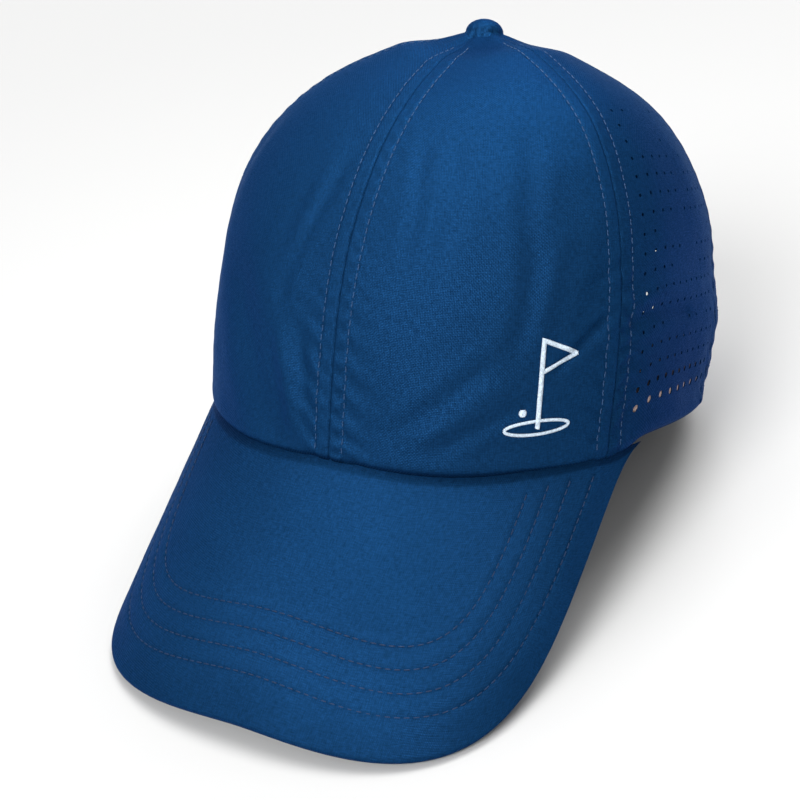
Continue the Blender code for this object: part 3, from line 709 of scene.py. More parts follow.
def new_look(name, **values):
    """A material with plain values on its shader; returns the material, its tree and its shader."""
    look = bpy.data.materials.new(name)
    look.use_nodes = True
    shader = look.node_tree.nodes["Principled BSDF"]
    for socket, value in values.items():
        shader.inputs[socket.replace("_", " ")].default_value = value
    return look, look.node_tree, shader


def paint(tree, shader, colour, light):
    """Base colour: one colour, lighter and darker from place to place."""
    tint = add_node(tree, "CombineXYZ", None, X=light, Y=light, Z=light).outputs[0]
    plug_in(tree, shader.inputs["Base Color"], mix_of(tree, 1.0, (*colour, 1), tint, "MULTIPLY"))


def emboss(tree, shader, height, strength, distance):
    lump = add_node(tree, "Bump", None, Height=height, Strength=strength, Distance=distance)
    plug_in(tree, shader.inputs["Normal"], lump.outputs[0])


def weave_height(tree, place, pitch, turn=0.0, stretch=1.0):
    """Height of a plain weave: two sets of ribs that take turns on top."""
    scale = (1 / pitch, stretch / pitch, 1)
    spot = add_node(tree, "Mapping", None, Vector=place, Rotation=(0, 0, turn), Scale=scale)
    axes = add_node(tree, "SeparateXYZ", None, Vector=spot.outputs[0])
    ribs = [maths(tree, "ABSOLUTE", maths(tree, "SINE", maths(tree, "MULTIPLY", axis, math.pi)))
            for axis in axes.outputs[:2]]
    over = add_node(tree, "TexChecker", None, Vector=spot.outputs[0], Scale=1.0)
    warp = maths(tree, "MULTIPLY", ribs[0], over.outputs["Fac"])
    under = maths(tree, "SUBTRACT", 1.0, over.outputs["Fac"])
    return maths(tree, "ADD", warp, maths(tree, "MULTIPLY", ribs[1], under))


def woven_look(name, colour, pitch, turn=0.0, heather=0.26, roughness=0.6, bump=0.6, sheen=0.0,
               stretch=1.0, satin=0.0):
    """Woven cloth: ribs, heathered yarn, broad colour changes, and painted shade and light in the weave
    and from each mesh.
    """
    look, tree, shader = new_look(name, Sheen_Weight=sheen, Sheen_Roughness=0.45,
                                  Specular_IOR_Level=0.02, Metallic=satin)
    shader.inputs["Sheen Tint"].default_value = (0.3, 0.6, 1.0, 1)
    shader.inputs["Specular Tint"].default_value = (0.12, 0.45, 1.0, 1)
    place = add_node(tree, "UVMap", {"uv_map": "cloth"}).outputs[0]
    body = add_node(tree, "TexCoord").outputs["Object"]
    height = weave_height(tree, place, pitch, turn, stretch)
    long_way = add_node(tree, "Mapping", None, Vector=place, Scale=(1 / (0.45 * MM), 1 / (2.4 * MM), 1))
    wide_way = add_node(tree, "Mapping", None, Vector=place, Scale=(1 / (2.0 * MM), 1 / (0.5 * MM), 1))
    warp = add_node(tree, "TexNoise", None, Vector=long_way.outputs[0], Scale=1.0, Detail=2.0)
    weft = add_node(tree, "TexNoise", None, Vector=wide_way.outputs[0], Scale=1.0, Detail=2.0)
    yarn = maths(tree, "ADD", warp.outputs["Fac"], weft.outputs["Fac"])
    broad = add_node(tree, "TexNoise", None, Vector=body, Scale=22.0, Detail=2.0)
    painted_shading = add_node(tree, "Attribute", {"attribute_name": "painted_shading"}).outputs["Fac"]
    light = spread_of(tree, yarn, 0.7, 1.3, 1 - heather, 1 + heather)
    light = maths(tree, "MULTIPLY", light, spread_of(tree, broad.outputs["Fac"], 0.3, 0.7, 0.94, 1.06))
    # Painted shade: the low spots between the ribs darker, the rib tops lighter.
    light = maths(tree, "MULTIPLY", light, spread_of(tree, height, 0.0, 1.0, 0.80, 1.10))
    # Painted shade and light that the mesh carries per point: in the seams, rows and puckers, under the
    # hem, round the button, low on the sides, and as the brim's sheen.
    light = maths(tree, "MULTIPLY", light, spread_of(tree, painted_shading, -3.0, 1.0, 0.34, 1.22))
    paint(tree, shader, colour, light)
    rough = spread_of(tree, yarn, 0.7, 1.3, roughness + 0.07, roughness - 0.07)
    plug_in(tree, shader.inputs["Roughness"], rough)
    fuzz = add_node(tree, "TexNoise", None, Vector=body, Scale=2600.0, Detail=1.0)
    rise = maths(tree, "ADD", height, maths(tree, "MULTIPLY", fuzz.outputs["Fac"], 0.5))
    rise = maths(tree, "ADD", rise, maths(tree, "MULTIPLY", yarn, 0.6))
    emboss(tree, shader, rise, bump, 0.12 * MM)
    return look


def thread_look(name, colour, roughness=0.5, sheen=0.2):
    """Twisted sewing thread."""
    look, tree, shader = new_look(name, Sheen_Weight=sheen, Specular_IOR_Level=0.35)
    body = add_node(tree, "TexCoord").outputs["Object"]
    yarn = add_node(tree, "TexNoise", None, Vector=body, Scale=1400.0, Detail=2.0)
    light = spread_of(tree, yarn.outputs["Fac"], 0.3, 0.7, 0.75, 1.2)
    paint(tree, shader, colour, light)
    plug_in(tree, shader.inputs["Roughness"],
            spread_of(tree, yarn.outputs["Fac"], 0.3, 0.7, roughness + 0.1, roughness - 0.1))
    emboss(tree, shader, yarn.outputs["Fac"], 0.5, 0.1 * MM)
    return look


def metal_look(name, colour, roughness):
    """Plated or plain steel with fine brushing and a little wear."""
    look, tree, shader = new_look(name, Metallic=1.0)
    body = add_node(tree, "TexCoord").outputs["Object"]
    brushed = add_node(tree, "Mapping", None, Vector=body, Scale=(300, 300, 4000))
    grain = add_node(tree, "TexNoise", None, Vector=brushed.outputs[0], Scale=1.0, Detail=3.0)
    smudge = add_node(tree, "TexNoise", None, Vector=body, Scale=160.0, Detail=3.0)
    light = spread_of(tree, smudge.outputs["Fac"], 0.3, 0.7, 0.86, 1.06)
    paint(tree, shader, colour, light)
    plug_in(tree, shader.inputs["Roughness"],
            spread_of(tree, grain.outputs["Fac"], 0.3, 0.7, roughness - 0.07, roughness + 0.12))
    emboss(tree, shader, grain.outputs["Fac"], 0.05, 0.01 * MM)
    return look


def foam_look(name, colour, grain_size, bump):
    """Open foam or moulded sheet: fine pores in a dull surface."""
    look, tree, shader = new_look(name, Roughness=0.85, Specular_IOR_Level=0.2)
    body = add_node(tree, "TexCoord").outputs["Object"]
    pores = add_node(tree, "TexVoronoi", None, Vector=body, Scale=1 / grain_size)
    light = spread_of(tree, pores.outputs["Distance"], 0.0, 0.8, 1.25, 0.7)
    paint(tree, shader, colour, light)
    emboss(tree, shader, pores.outputs["Distance"], bump, 0.3 * MM)
    return look


def floor_look():
    """Plain pale studio floor."""
    look, tree, shader = new_look("studio_floor", Roughness=0.7, Specular_IOR_Level=0.1)
    body = add_node(tree, "TexCoord").outputs["Object"]
    broad = add_node(tree, "TexNoise", None, Vector=body, Scale=3.0, Detail=2.0)
    shade = mix_of(tree, broad.outputs["Fac"], *FLOOR_SHADES)
    plug_in(tree, shader.inputs["Base Color"], shade)
    return look


NAVY = (0.0055, 0.036, 0.106)
# The navy darkened by a tenth as painted shade; the side and back panels and the strap take it.
NAVY_WITH_PAINTED_SHADE = tuple(0.9 * part for part in NAVY)
CROWN_LOOK = woven_look("crown_cloth", NAVY, 0.52 * MM, roughness=0.49, satin=0.6)
SIDE_LOOK = woven_look("perforated_cloth", NAVY_WITH_PAINTED_SHADE, 0.52 * MM, roughness=0.49, satin=0.6)
BRIM_LOOK = woven_look("brim_cloth", NAVY, 0.50 * MM, turn=38 * DEG, roughness=0.49, satin=0.55)
TAPE_LOOK = woven_look("seam_tape", (0.005, 0.026, 0.08), 0.8 * MM, stretch=0.4, bump=0.8)
BAND_LOOK = woven_look("sweatband_knit", (0.007, 0.032, 0.09), 0.7 * MM, turn=45 * DEG, sheen=0.12,
                       roughness=0.8)
BACKING_LOOK = woven_look("sweatband_backing", (0.50, 0.36, 0.32), 0.6 * MM, sheen=0.1)
STIFFENER_LOOK = woven_look("mesh_stiffener", (0.035, 0.036, 0.04), 1.4 * MM, bump=1.0)
LABEL_LOOK = woven_look("blank_label", (0.72, 0.72, 0.70), 0.3 * MM, heather=0.04, roughness=0.45,
                        bump=0.2)
STRAP_LOOK = woven_look("strap_cloth", NAVY_WITH_PAINTED_SHADE, 0.6 * MM, bump=0.6)
THREAD_LOOK = thread_look("navy_thread", (0.012, 0.055, 0.150), sheen=0.05)
BRIM_THREAD_LOOK = thread_look("brim_thread", (0.0035, 0.023, 0.076), sheen=0.0)
SATIN_LOOK = thread_look("white_thread", (0.56, 0.66, 0.76), roughness=0.38, sheen=0.1)
NICKEL_LOOK = metal_look("satin_nickel", (0.62, 0.62, 0.63), 0.3)
STEEL_LOOK = metal_look("plain_steel", (0.52, 0.53, 0.55), 0.38)
FOAM_LOOK = foam_look("foam", (0.04, 0.04, 0.045), 0.6 * MM, 0.6)
BOARD_LOOK = foam_look("brim_board_sheet", (0.03, 0.03, 0.035), 0.9 * MM, 0.2)


# ---------------------------------------------------------------- crown panels

def crowded(count, amount):
    """Shares from 0 to 1 that lie closer together at both ends."""
    even = np.linspace(0, 1, count + 1)
    return even - amount * np.sin(2 * math.pi * even) / (2 * math.pi)


def crowded_low(count, amount):
    """Shares from 0 to 1 that lie closer together at the start."""
    even = np.linspace(0, 1, count + 1)
    return even - amount * np.sin(math.pi * even) / math.pi


def cut_holes(spots, holes):
    """Open round holes in a grid of flat spots: returns the cells to keep, and moves the spots."""
    keep = np.ones((spots.shape[0] - 1, spots.shape[1] - 1), bool)
    middles = (spots[:-1, :-1] + spots[1:, :-1] + spots[1:, 1:] + spots[:-1, 1:]) / 4
    for centre, radius in holes:
        near = np.linalg.norm(middles - centre, axis=-1) < radius * 1.02
        if near.sum() < 3:
            continue
        keep[near] = False
        taken = np.pad(near, 1)
        corners = taken[:-1, :-1] | taken[1:, :-1] | taken[1:, 1:] | taken[:-1, 1:]
        corners_kept = np.pad(~near, 1)
        rim = corners & (corners_kept[:-1, :-1] | corners_kept[1:, :-1]
                         | corners_kept[1:, 1:] | corners_kept[:-1, 1:])
        away = spots[rim] - centre
        spots[rim] = centre + radius * unit(away)
    return keep


def make_panel(name, node, slot, looks, middle, angle, run, holes=()):
    """One crown panel from a grid of angles and runs."""
    line = Meridian(middle)
    spots = np.stack([(angle - middle) * line.radius(run), run], -1)
    keep = cut_holes(spots, holes)
    angle = middle + spots[..., 0] / np.maximum(line.radius(spots[..., 1]), 0.1 * MM)
    level = line.level(spots[..., 1])
    sewn, painted_shading = sewn_relief(angle, level)
    out = soft_relief(angle, level) + sewn
    outer = crown_point(angle, level, -out)
    inner = crown_point(angle, level, PANEL_CLOTH - out)
    piece = cloth(name, outer, inner, spots, looks, keep, painted_shading)
    finish_piece(piece, slot, node)


def finish_piece(piece, slot, *nodes, body="crown"):
    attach(piece, body)
    if nodes:
        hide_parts(*nodes)


def plain_panel_grid(first, last, columns, rows, crowding):
    """Angles and runs of a panel between two seams."""
    middle = (first + last) / 2
    line = Meridian(middle)
    top = line.run(level_at_radius(middle, TOP_HOLE_RADIUS))
    across = crowded(columns, crowding)[:, None]
    foot = hem_lift(first + (last - first) * across)
    run = foot + (top - foot) * crowded_low(rows, 0.45)
    margin = SEAM_GAP / 2 / line.radius(run)
    angle = first + margin + (last - first - 2 * margin) * across
    return middle, angle, np.array(run)


def hole_rows(middle, first, last, open_at=None):
    """Centres and radii of the laser-cut holes between two seams, in flat spots."""
    line = Meridian(middle)
    holes = []
    for number, run in enumerate(np.arange(HOLE_FIRST_RUN, HOLE_LAST_RUN, HOLE_ROW_STEP)):
        radius = line.radius(run)
        low, high = ((limit - middle) * radius for limit in (first, last))
        pitch = HOLE_PITCH * (1.28 if number == 0 else 1)
        size = LOW_HOLE_RADIUS[number] if number < len(LOW_HOLE_RADIUS) else HOLE_RADIUS
        count = int((high - low - 2 * HOLE_MARGIN) / pitch)
        start = low + HOLE_MARGIN if middle > 0 else high - HOLE_MARGIN - count * pitch
        for aside in start + pitch * np.arange(count + 1):
            if open_at is None or open_at(middle + aside / radius, run):
                holes.append((np.array((aside, run)), size))
    return holes


def build_front_panels():
    for name, first, last in (("front_left", 0, SIDE_SEAM), ("front_right", -SIDE_SEAM, 0)):
        middle, angle, run = plain_panel_grid(first, last, *FRONT_GRID, 0.55)
        make_panel(name + "_piece", name + "_panel", "crown_fabric", [CROWN_LOOK], middle, angle, run)


def build_side_panels():
    spans = (("side_left", SIDE_SEAM, REAR_SEAM), ("side_right", -REAR_SEAM, -SIDE_SEAM))
    for name, first, last in spans:
        middle, angle, run = plain_panel_grid(first, last, *SIDE_GRID, 0.3)
        make_panel(name + "_piece", name + "_panel", "perforated_fabric", [SIDE_LOOK], middle, angle,
                   run, hole_rows(middle, first, last))


def arch_foot(off_centre):
    """Height of the back opening's edge above the hem."""
    share = np.abs(off_centre) / ARCH_HALF_ANGLE
    return ARCH_HEIGHT * np.maximum(1 - share ** ARCH_POWER, 0) ** (1 / ARCH_POWER)


def clear_of_arch(angle, run):
    """True well outside the back opening and its binding."""
    off_centre = math.pi - abs(angle)
    wider = off_centre / (1 + (BINDING_WIDTH + 5 * MM) / (ARCH_HALF_ANGLE * BACK_REACH))
    reach = arch_foot(wider) * (1 + (BINDING_WIDTH + 5 * MM) / ARCH_HEIGHT)
    return wider > ARCH_HALF_ANGLE or run > reach


def build_back_panels():
    """Back panels: their columns crowd together where the opening's edge is steep."""
    arch_columns, plain_columns, rows = BACK_GRID
    turns = np.linspace(0, math.pi / 2, arch_columns + 1)
    plain = crowded(2 * plain_columns, 0.3)[plain_columns:] * 2 - 1
    off = np.concatenate([ARCH_HALF_ANGLE * np.sin(turns),
                          ARCH_HALF_ANGLE + (math.pi - REAR_SEAM - ARCH_HALF_ANGLE) * plain[1:]])
    for side, name in ((1, "back_left"), (-1, "back_right")):
        middle = side * (math.pi + REAR_SEAM) / 2
        line = Meridian(middle)
        angle = side * (math.pi - off)
        bottom = line.run(level_at_height(angle, arch_foot(off)))[:, None]
        top = line.run(level_at_radius(middle, TOP_HOLE_RADIUS))
        run = bottom + (top - bottom) * crowded_low(rows, 0.3)
        margin = SEAM_GAP / 2 / line.radius(run)
        squeeze = 1 - 2 * margin / (math.pi - REAR_SEAM)
        angle = side * (math.pi - margin - off[:, None] * squeeze)
        if side > 0:
            angle, run = angle[::-1], run[::-1]
        first, last = sorted((side * REAR_SEAM, side * math.pi))
        make_panel(name + "_piece", name + "_panel", "perforated_fabric", [SIDE_LOOK], middle, angle,
                   np.array(run), hole_rows(middle, first, last, clear_of_arch))


def crown_row(seam, side, line):
    """Where a stitch row beside a seam runs on the outer cloth."""
    def place(run):
        radius = line.radius(run)
        angle = seam + side * row_offset(radius) / radius
        return worn_cloth(angle, line.level(run))
    return place


def build_crown_stitches():
    rows = []
    for seam, line in zip(SEAMS, SEAM_LINES):
        start = 1.5 * STITCH_PITCH if seam != math.pi else ARCH_HEIGHT + BINDING_WIDTH + 2 * MM
        end = line.run(level_at_radius(seam, STITCHES_END_RADIUS))
        for side in (-1, 1):
            rows.append(stitch_row(crown_row(seam, side, line), end, start=start))
    sew("crown_stitches", rows, THREAD_LOOK)


# ---------------------------------------------------------------- inside the crown

def inner_layer(name, node, slot, look, angles, runs, depth, thickness, middle, swell=0):
    """A sheet behind the crown cloth, that shares its folds; swell moves it further in."""
    line = Meridian(middle)
    level = line.level(runs)
    shape = soft_relief(angles, level)
    outer = crown_point(angles, level, depth - shape + swell)
    inner = crown_point(angles, level, depth + thickness - shape + swell)
    spots = np.stack([(angles - middle) * line.radius(runs), runs], -1)
    piece = cloth(name, outer, inner, spots, [look])
    finish_piece(piece, slot, node)
    return piece


def build_interfacings():
    """Open-mesh stiffening behind the two front panels."""
    for side, name in ((1, "front_left_interfacing"), (-1, "front_right_interfacing")):
        first, last = sorted((0.0, side * SIDE_SEAM))
        middle = (first + last) / 2
        line = Meridian(middle)
        low = line.run(level_at_height(middle, INTERFACING_FOOT))
        high = line.run(INTERFACING_TOP)
        runs = np.broadcast_to(np.linspace(low, high, 70), (50, 70))
        margin = INTERFACING_MARGIN / line.radius(runs)
        angles = first + margin + (last - first - 2 * margin) * np.linspace(0, 1, 50)[:, None]
        piece = inner_layer(name + "_mesh", name, "interfacing", STIFFENER_LOOK, angles, runs,
                            BACKING_DEPTH, INTERFACING_CLOTH, middle)


def build_seam_tapes():
    """Binding tapes inside the six seams; they narrow where they meet under the button."""
    names = ("front", "left_side", "left_rear", "back", "right_rear", "right_side")
    for name, seam, line in zip(names, SEAMS, SEAM_LINES):
        node = name + "_seam_tape"
        foot = ARCH_HEIGHT + BINDING_WIDTH + 1 * MM if seam == math.pi else 0
        low = line.run(level_at_height(seam, foot + TAPE_FOOT))
        high = line.run(level_at_radius(seam, TAPE_TOP_RADIUS))
        runs = np.broadcast_to(np.linspace(low, high, 150), (17, 150))
        half = np.minimum(TAPE_WIDTH / 2 / line.radius(runs), TAPE_TOP_HALF_ANGLE)
        across = np.linspace(-1, 1, 17)[:, None]
        depth = BACKING_DEPTH if abs(seam) >= REAR_SEAM else FRONT_TAPE_DEPTH
        swell = 0.28 * MM * (1 - across ** 2) ** 2 + 0.08 * MM * np.sin(runs / MM * 1.57) * across ** 2
        piece = inner_layer(node + "_piece", node, "binding_fabric", TAPE_LOOK, seam + half * across,
                            runs, depth, TAPE_CLOTH, seam, swell)


def sweatband_depth(angle):
    """Depth of the band: it steps in at the back to leave a pocket for the strap."""
    front, back = SWEATBAND_DEPTHS
    return front + (back - front) * smooth(*SWEATBAND_STEP, np.abs(angle))


def band_point(angle, height, extra):
    return crown_point(angle, level_at_height(angle, height), sweatband_depth(angle) + extra)


def build_sweatband():
    """Folded band with a rolled top edge, soft waves and a pale backing towards the crown."""
    angles = np.linspace(-SWEATBAND_END, SWEATBAND_END, 420)[:, None]
    share = np.linspace(0, 1, 30)
    height = SWEATBAND_LIFT + SWEATBAND_HEIGHT * share
    base = crown_surface(angles, level_at_height(angles, height))
    waves = 0.35 * MM * noise(base, 16 * MM, 6) * np.sin(math.pi * share)
    from_top = SWEATBAND_HEIGHT * (1 - share)
    bead = 0.45 * MM * bell(from_top - 1.2 * MM, 1.0 * MM)
    seam_dip = -0.25 * MM * bell(from_top - SWEATBAND_STITCHES_DOWN, 0.7 * MM)
    inwards = np.broadcast_to(waves + bead + seam_dip, base.shape[:2])
    off_front = np.abs(angles)
    beside = smooth(*BACKING_STARTS, off_front) * (1 - smooth(*BACKING_ENDS, off_front))
    low = smooth(*BACKING_BELOW, height) * (1 - smooth(*BACKING_ABOVE, height))
    against = PANEL_CLOTH + 0.08 * MM - soft_relief(angles, level_at_height(angles, height))
    outer = band_point(angles, height, beside * low * (against - sweatband_depth(angles)))
    inner = band_point(angles, height, SWEATBAND_CLOTH + inwards)
    spots = pair(angles * HALF_WIDTH, height)
    backed = np.broadcast_to(beside[:-1] > 0, (len(angles) - 1, len(share) - 1))
    band = cloth("sweatband_piece", outer, inner, spots, [BAND_LOOK, BACKING_LOOK], second_look=backed)
    finish_piece(band, "sweatband_fabric", "sweatband")

    def place(run):
        angle = run / HALF_WIDTH - SWEATBAND_END
        row = np.full(run.shape, SWEATBAND_LIFT + SWEATBAND_HEIGHT - SWEATBAND_STITCHES_DOWN)
        point = band_point(angle, row, SWEATBAND_CLOTH)
        return point, -crown_normal(angle, level_at_height(angle, row))
    length = 2 * SWEATBAND_END * HALF_WIDTH
    sew("sweatband_stitches", [stitch_row(place, length, TIGHT_PITCH, TIGHT_LENGTH)], THREAD_LOOK)


def build_label():
    """Blank satin label sewn to the band at its two ends."""
    low, high = LABEL_HEIGHTS
    angles = np.linspace(*LABEL_ANGLES, 40)[:, None]
    height = np.linspace(low, high, 36)
    curl = 0.35 * MM * np.sin(math.pi * (height - low) / (high - low)) ** 2
    lift = SWEATBAND_CLOTH + 0.45 * MM + curl + 0 * angles
    outer = band_point(angles, height, lift)
    inner = band_point(angles, height, lift + 0.25 * MM)
    spots = pair(angles * HALF_WIDTH, height)
    label = cloth("care_label_piece", outer, inner, spots, [LABEL_LOOK])
    finish_piece(label, "label_fabric", "care_label")


def build_foam():
    """Thin forehead pad behind the band."""
    low, high = FOAM_HEIGHTS
    angles = np.linspace(-FOAM_HALF_ANGLE, FOAM_HALF_ANGLE, 120)[:, None]
    height = np.linspace(low, high, 24)
    level = level_at_height(angles, height)
    rim = np.minimum(FOAM_HALF_ANGLE - np.abs(angles), 1) * HALF_WIDTH
    rim = np.minimum(rim, np.minimum(height - low, high - height))
    half = (0.25 + 0.45 * smooth(0, 3 * MM, rim)) * MM
    middle = sum(FOAM_DEPTHS) / 2
    spots = pair(angles * HALF_WIDTH, height)
    pad = cloth("forehead_foam_piece", crown_point(angles, level, middle - half),
                crown_point(angles, level, middle + half), spots, [FOAM_LOOK])
    finish_piece(pad, "foam", "forehead_foam")


# ---------------------------------------------------------------- brim

def brim_outer_edge(turn, half_width=BRIM_HALF_WIDTH, reach=None, side_power=BRIM_SIDE_POWER,
                    front_power=BRIM_FRONT_POWER):
    """Plan position of the brim's outer edge, or of a stitch row inside it."""
    corner_y = rim_xy(BRIM_CORNER)[1]
    reach = corner_y + FRONT_REACH + BRIM_REACH if reach is None else reach
    x = np.sign(turn) * half_width * np.abs(np.sin(turn)) ** side_power
    return x, corner_y - reach * np.abs(np.cos(turn)) ** front_power


def brim_edge_turns(count):
    """Turns that divide the outer edge into equal lengths."""
    turns = np.linspace(-math.pi / 2, math.pi / 2, 4001)
    runs = run_along(np.stack(brim_outer_edge(turns), -1))
    shares = np.linspace(BRIM_TIP_TRIM, 1 - BRIM_TIP_TRIM, count + 1)
    return np.interp(shares * runs[-1], runs, turns)


def brim_normal(x, y):
    step = 0.2 * MM
    slope_x = (brim_fall(x + step, y) - brim_fall(x - step, y)) / (2 * step)
    slope_y = (brim_fall(x, y + step) - brim_fall(x, y - step)) / (2 * step)
    return unit(np.stack([-slope_x, -slope_y, np.ones_like(slope_x)], -1))


def brim_surface(turn, share, across):
    """Points on the brim's upper face: share 0 at the crown and 1 at the outer edge."""
    inner_x, inner_y = rim_xy(across * BRIM_CORNER)
    outer_x, outer_y = brim_outer_edge(turn)
    x, y = inner_x + (outer_x - inner_x) * share, inner_y + (outer_y - inner_y) * share
    lift = rim_height(across * BRIM_CORNER) - CONTACT_GAP - (brim_fall(inner_x, inner_y) - FRONT_DROP)
    z = brim_fall(x, y) - FRONT_DROP + lift * (1 - share) ** 2
    return np.stack([x, y, z], -1)


def brim_stitch_lines():
    """The stitch rows as closely spaced points on the brim, outermost first."""
    lines = []
    for number in range(BRIM_ROWS):
        turns = np.linspace(-math.pi / 2, math.pi / 2, 3000)
        half_width = BRIM_ROW_OUTER[0] - number * BRIM_ROW_STEP[0]
        reach = BRIM_ROW_OUTER[1] - number * BRIM_ROW_STEP[1]
        front_power = BRIM_ROW_FRONT_POWERS[0] + BRIM_ROW_FRONT_POWERS[1] * number
        x, y = brim_outer_edge(turns, half_width, reach, BRIM_ROW_SIDE_POWER, front_power)
        angle = np.arctan2(x, -y)
        outside = np.hypot(x, y) > rim_radius(angle) + 1.0 * MM
        x, y = x[outside], y[outside]
        spots = np.stack([x, y, brim_fall(x, y) - FRONT_DROP], -1)
        runs = run_along(spots)
        even = np.arange(0, runs[-1], BRIM_ROW_POINTS)
        lines.append(np.stack([np.interp(even, runs, spots[:, k]) for k in range(3)], -1))
    return lines


BRIM_LINES = brim_stitch_lines()


def brim_relief(points):
    """Sunken stitch rows with puffed cloth between them; outwards is positive."""
    flat = points.reshape(-1, 3)
    out = np.zeros(len(flat))
    for line in BRIM_LINES:
        for start in range(0, len(flat), 4000):
            part = slice(start, start + 4000)
            apart = np.linalg.norm(flat[part, None, :2] - line[None, :, :2], axis=-1)
            nearest = apart.argmin(axis=1)
            reach = np.linalg.norm(flat[part] - line[nearest], axis=-1)
            pulls = np.cos(math.pi * nearest * BRIM_ROW_POINTS / STITCH_PITCH) ** STITCH_PULL_POWER
            depth, pull, half_width = BRIM_ROW_DENT
            out[part] -= (depth + pull * pulls) * MM * bell(reach, half_width)
            out[part] += 0.06 * MM * bell(reach - 2.6 * MM, 1.6 * MM)
    out += 0.14 * MM * noise(flat, 24 * MM, 7) + 0.05 * MM * noise(flat, 7 * MM, 8)
    return out.reshape(points.shape[:-1])


def brim_cover(name, node, top, columns, rows):
    """One cloth cover of the brim, turned in round the outer edge to meet the other cover."""
    turns = brim_edge_turns(columns)[:, None]
    across = (BRIM_SPAN * np.linspace(-1, 1, columns + 1))[:, None]
    edge = brim_surface(turns, 1.0, across)
    outwards = (edge - brim_surface(turns, 0.98, across)) / 0.02
    length = np.linalg.norm(outwards, axis=-1)
    outwards = unit(outwards)
    last = 1 - BRIM_EDGE_ROUND / length
    tucked = np.minimum(BRIM_TUCK_IN / length, 0.5)
    shares = -tucked + (last + tucked) * np.linspace(0, 1, rows + 1)
    face = brim_surface(turns, shares, across)
    normal = brim_normal(face[..., 0], face[..., 1])
    relief = brim_relief(face) if top else 0.4 * brim_relief(face)
    depth = 0 if top else BRIM_DEPTH
    up = 1 if top else -1
    outer = face - (depth - up * relief)[..., None] * normal
    inner = outer - up * BRIM_CLOTH * normal
    bends = np.linspace(0, math.pi / 2, 8)[1:]
    edge_normal = brim_normal(edge[..., 0], edge[..., 1])
    drop = BRIM_DEPTH / 2 - SEAM_GAP / 2
    swell = relief[:, -1:, None]
    back = BRIM_EDGE_ROUND * (1 - np.sin(bends))[:, None]
    sunk = depth - up * swell + up * drop * (1 - np.cos(bends))[:, None]
    rounded = edge - back * outwards - sunk * edge_normal
    facing = up * np.cos(bends)[:, None] * edge_normal + np.sin(bends)[:, None] * outwards
    outer = np.concatenate([outer, rounded], axis=1)
    inner = np.concatenate([inner, rounded - BRIM_CLOTH * facing], axis=1)
    runs = np.concatenate([shares * length, np.broadcast_to(length + bends * MM, (columns + 1, 7))], 1)
    aside = np.broadcast_to(across * BRIM_CORNER * FRONT_REACH, runs.shape)
    spots = np.stack([aside * (1 + runs / FRONT_REACH * 0.35), runs], -1)
    # Painted shade in the sunk stitch rows and painted light on the puffed cloth between them.
    painted_shading = np.clip(np.pad(relief, ((0, 0), (0, 7)), mode="edge") / (0.35 * MM), -1, 1)
    # Painted shadow on the brim just under the crown's hem.
    painted_hem_shadow = 1 - smooth(0, 1.0 * MM, runs)
    # Painted sheen: a lighter band down the middle of the brim, with the rest of the brim painted a
    # little darker.
    painted_sheen = bell(across, 0.6 * BRIM_SPAN) * (1 - smooth(0.7, 1.05, runs / length))
    painted_shading = painted_shading - 1.8 * painted_hem_shadow + 1.2 * painted_sheen - 0.5
    if not top:
        outer, inner, spots, painted_shading = outer[::-1], inner[::-1], spots[::-1], painted_shading[::-1]
    cover = cloth(name, outer, inner, spots, [BRIM_LOOK], painted_shading=painted_shading)
    finish_piece(cover, "brim_fabric", node)


def build_brim():
    """The two cloth covers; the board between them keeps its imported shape."""
    brim_cover("brim_top_piece", "brim_top_cover", True, *BRIM_TOP_GRID)
    brim_cover("brim_under_piece", "brim_under_cover", False, *BRIM_UNDER_GRID)
    set_look(frame["nodes"]["brim_board"].data, BOARD_LOOK)


def build_brim_stitches():
    """Stitches sunk into the rows on both covers."""
    for name, top in (("brim_top_stitches", True), ("brim_under_stitches", False)):
        rows = []
        for line in BRIM_LINES:
            def place(run, line=line):
                at, marks = run / BRIM_ROW_POINTS, np.arange(len(line))
                point = np.stack([np.interp(at, marks, line[:, k]) for k in range(3)], -1)
                normal = brim_normal(point[..., 0], point[..., 1])
                if top:
                    return point - 0.26 * MM * normal, normal
                return point - (BRIM_DEPTH - 0.1 * MM) * normal, -normal
            rows.append(stitch_row(place, (len(line) - 1) * BRIM_ROW_POINTS))
        sew(name, rows, BRIM_THREAD_LOOK)


# ---------------------------------------------------------------- button and embroidery

def build_button():
    """Cloth-covered button, gathered in towards its foot."""
    turns = np.arange(96) * 2 * math.pi / 96
    climb = np.linspace(0, math.pi / 2, 22)[:0:-1]
    dome = np.stack([BUTTON_DOME * np.sin(climb), np.cos(climb)], -1)
    reach, heights = np.concatenate([BUTTON_FLARE, dome]).T[..., None]
    gather = 1 + 0.02 * np.sin(13 * turns + 0.8 * np.sin(3 * turns)) * reach ** 6
    radius = BUTTON_RADIUS * reach * gather
    rise = CROWN_HEIGHT + BUTTON_FOOT + (BUTTON_HEIGHT - BUTTON_FOOT) * heights + 0 * turns
    rings = np.stack([radius * np.cos(turns), radius * np.sin(turns), rise], -1)
    button = skin("top_button_piece", rings, rings[..., :2], CROWN_LOOK, sharp=80 * DEG)
    finish_piece(button, "crown_fabric", "top_button")


def motif_place():
    """First and last angle, and lowest and highest height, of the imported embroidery."""
    corners = np.array([vertex.co for vertex in frame["nodes"]["embroidered_motif"].data.vertices])
    local = (corners - CAP_ORIGIN) @ CAP_AXES.T
    angle = np.arctan2(local[:, 0], -local[:, 1])
    height = local[:, 2] - rim_height(angle)
    return angle.min(), angle.max(), height.min(), height.max()


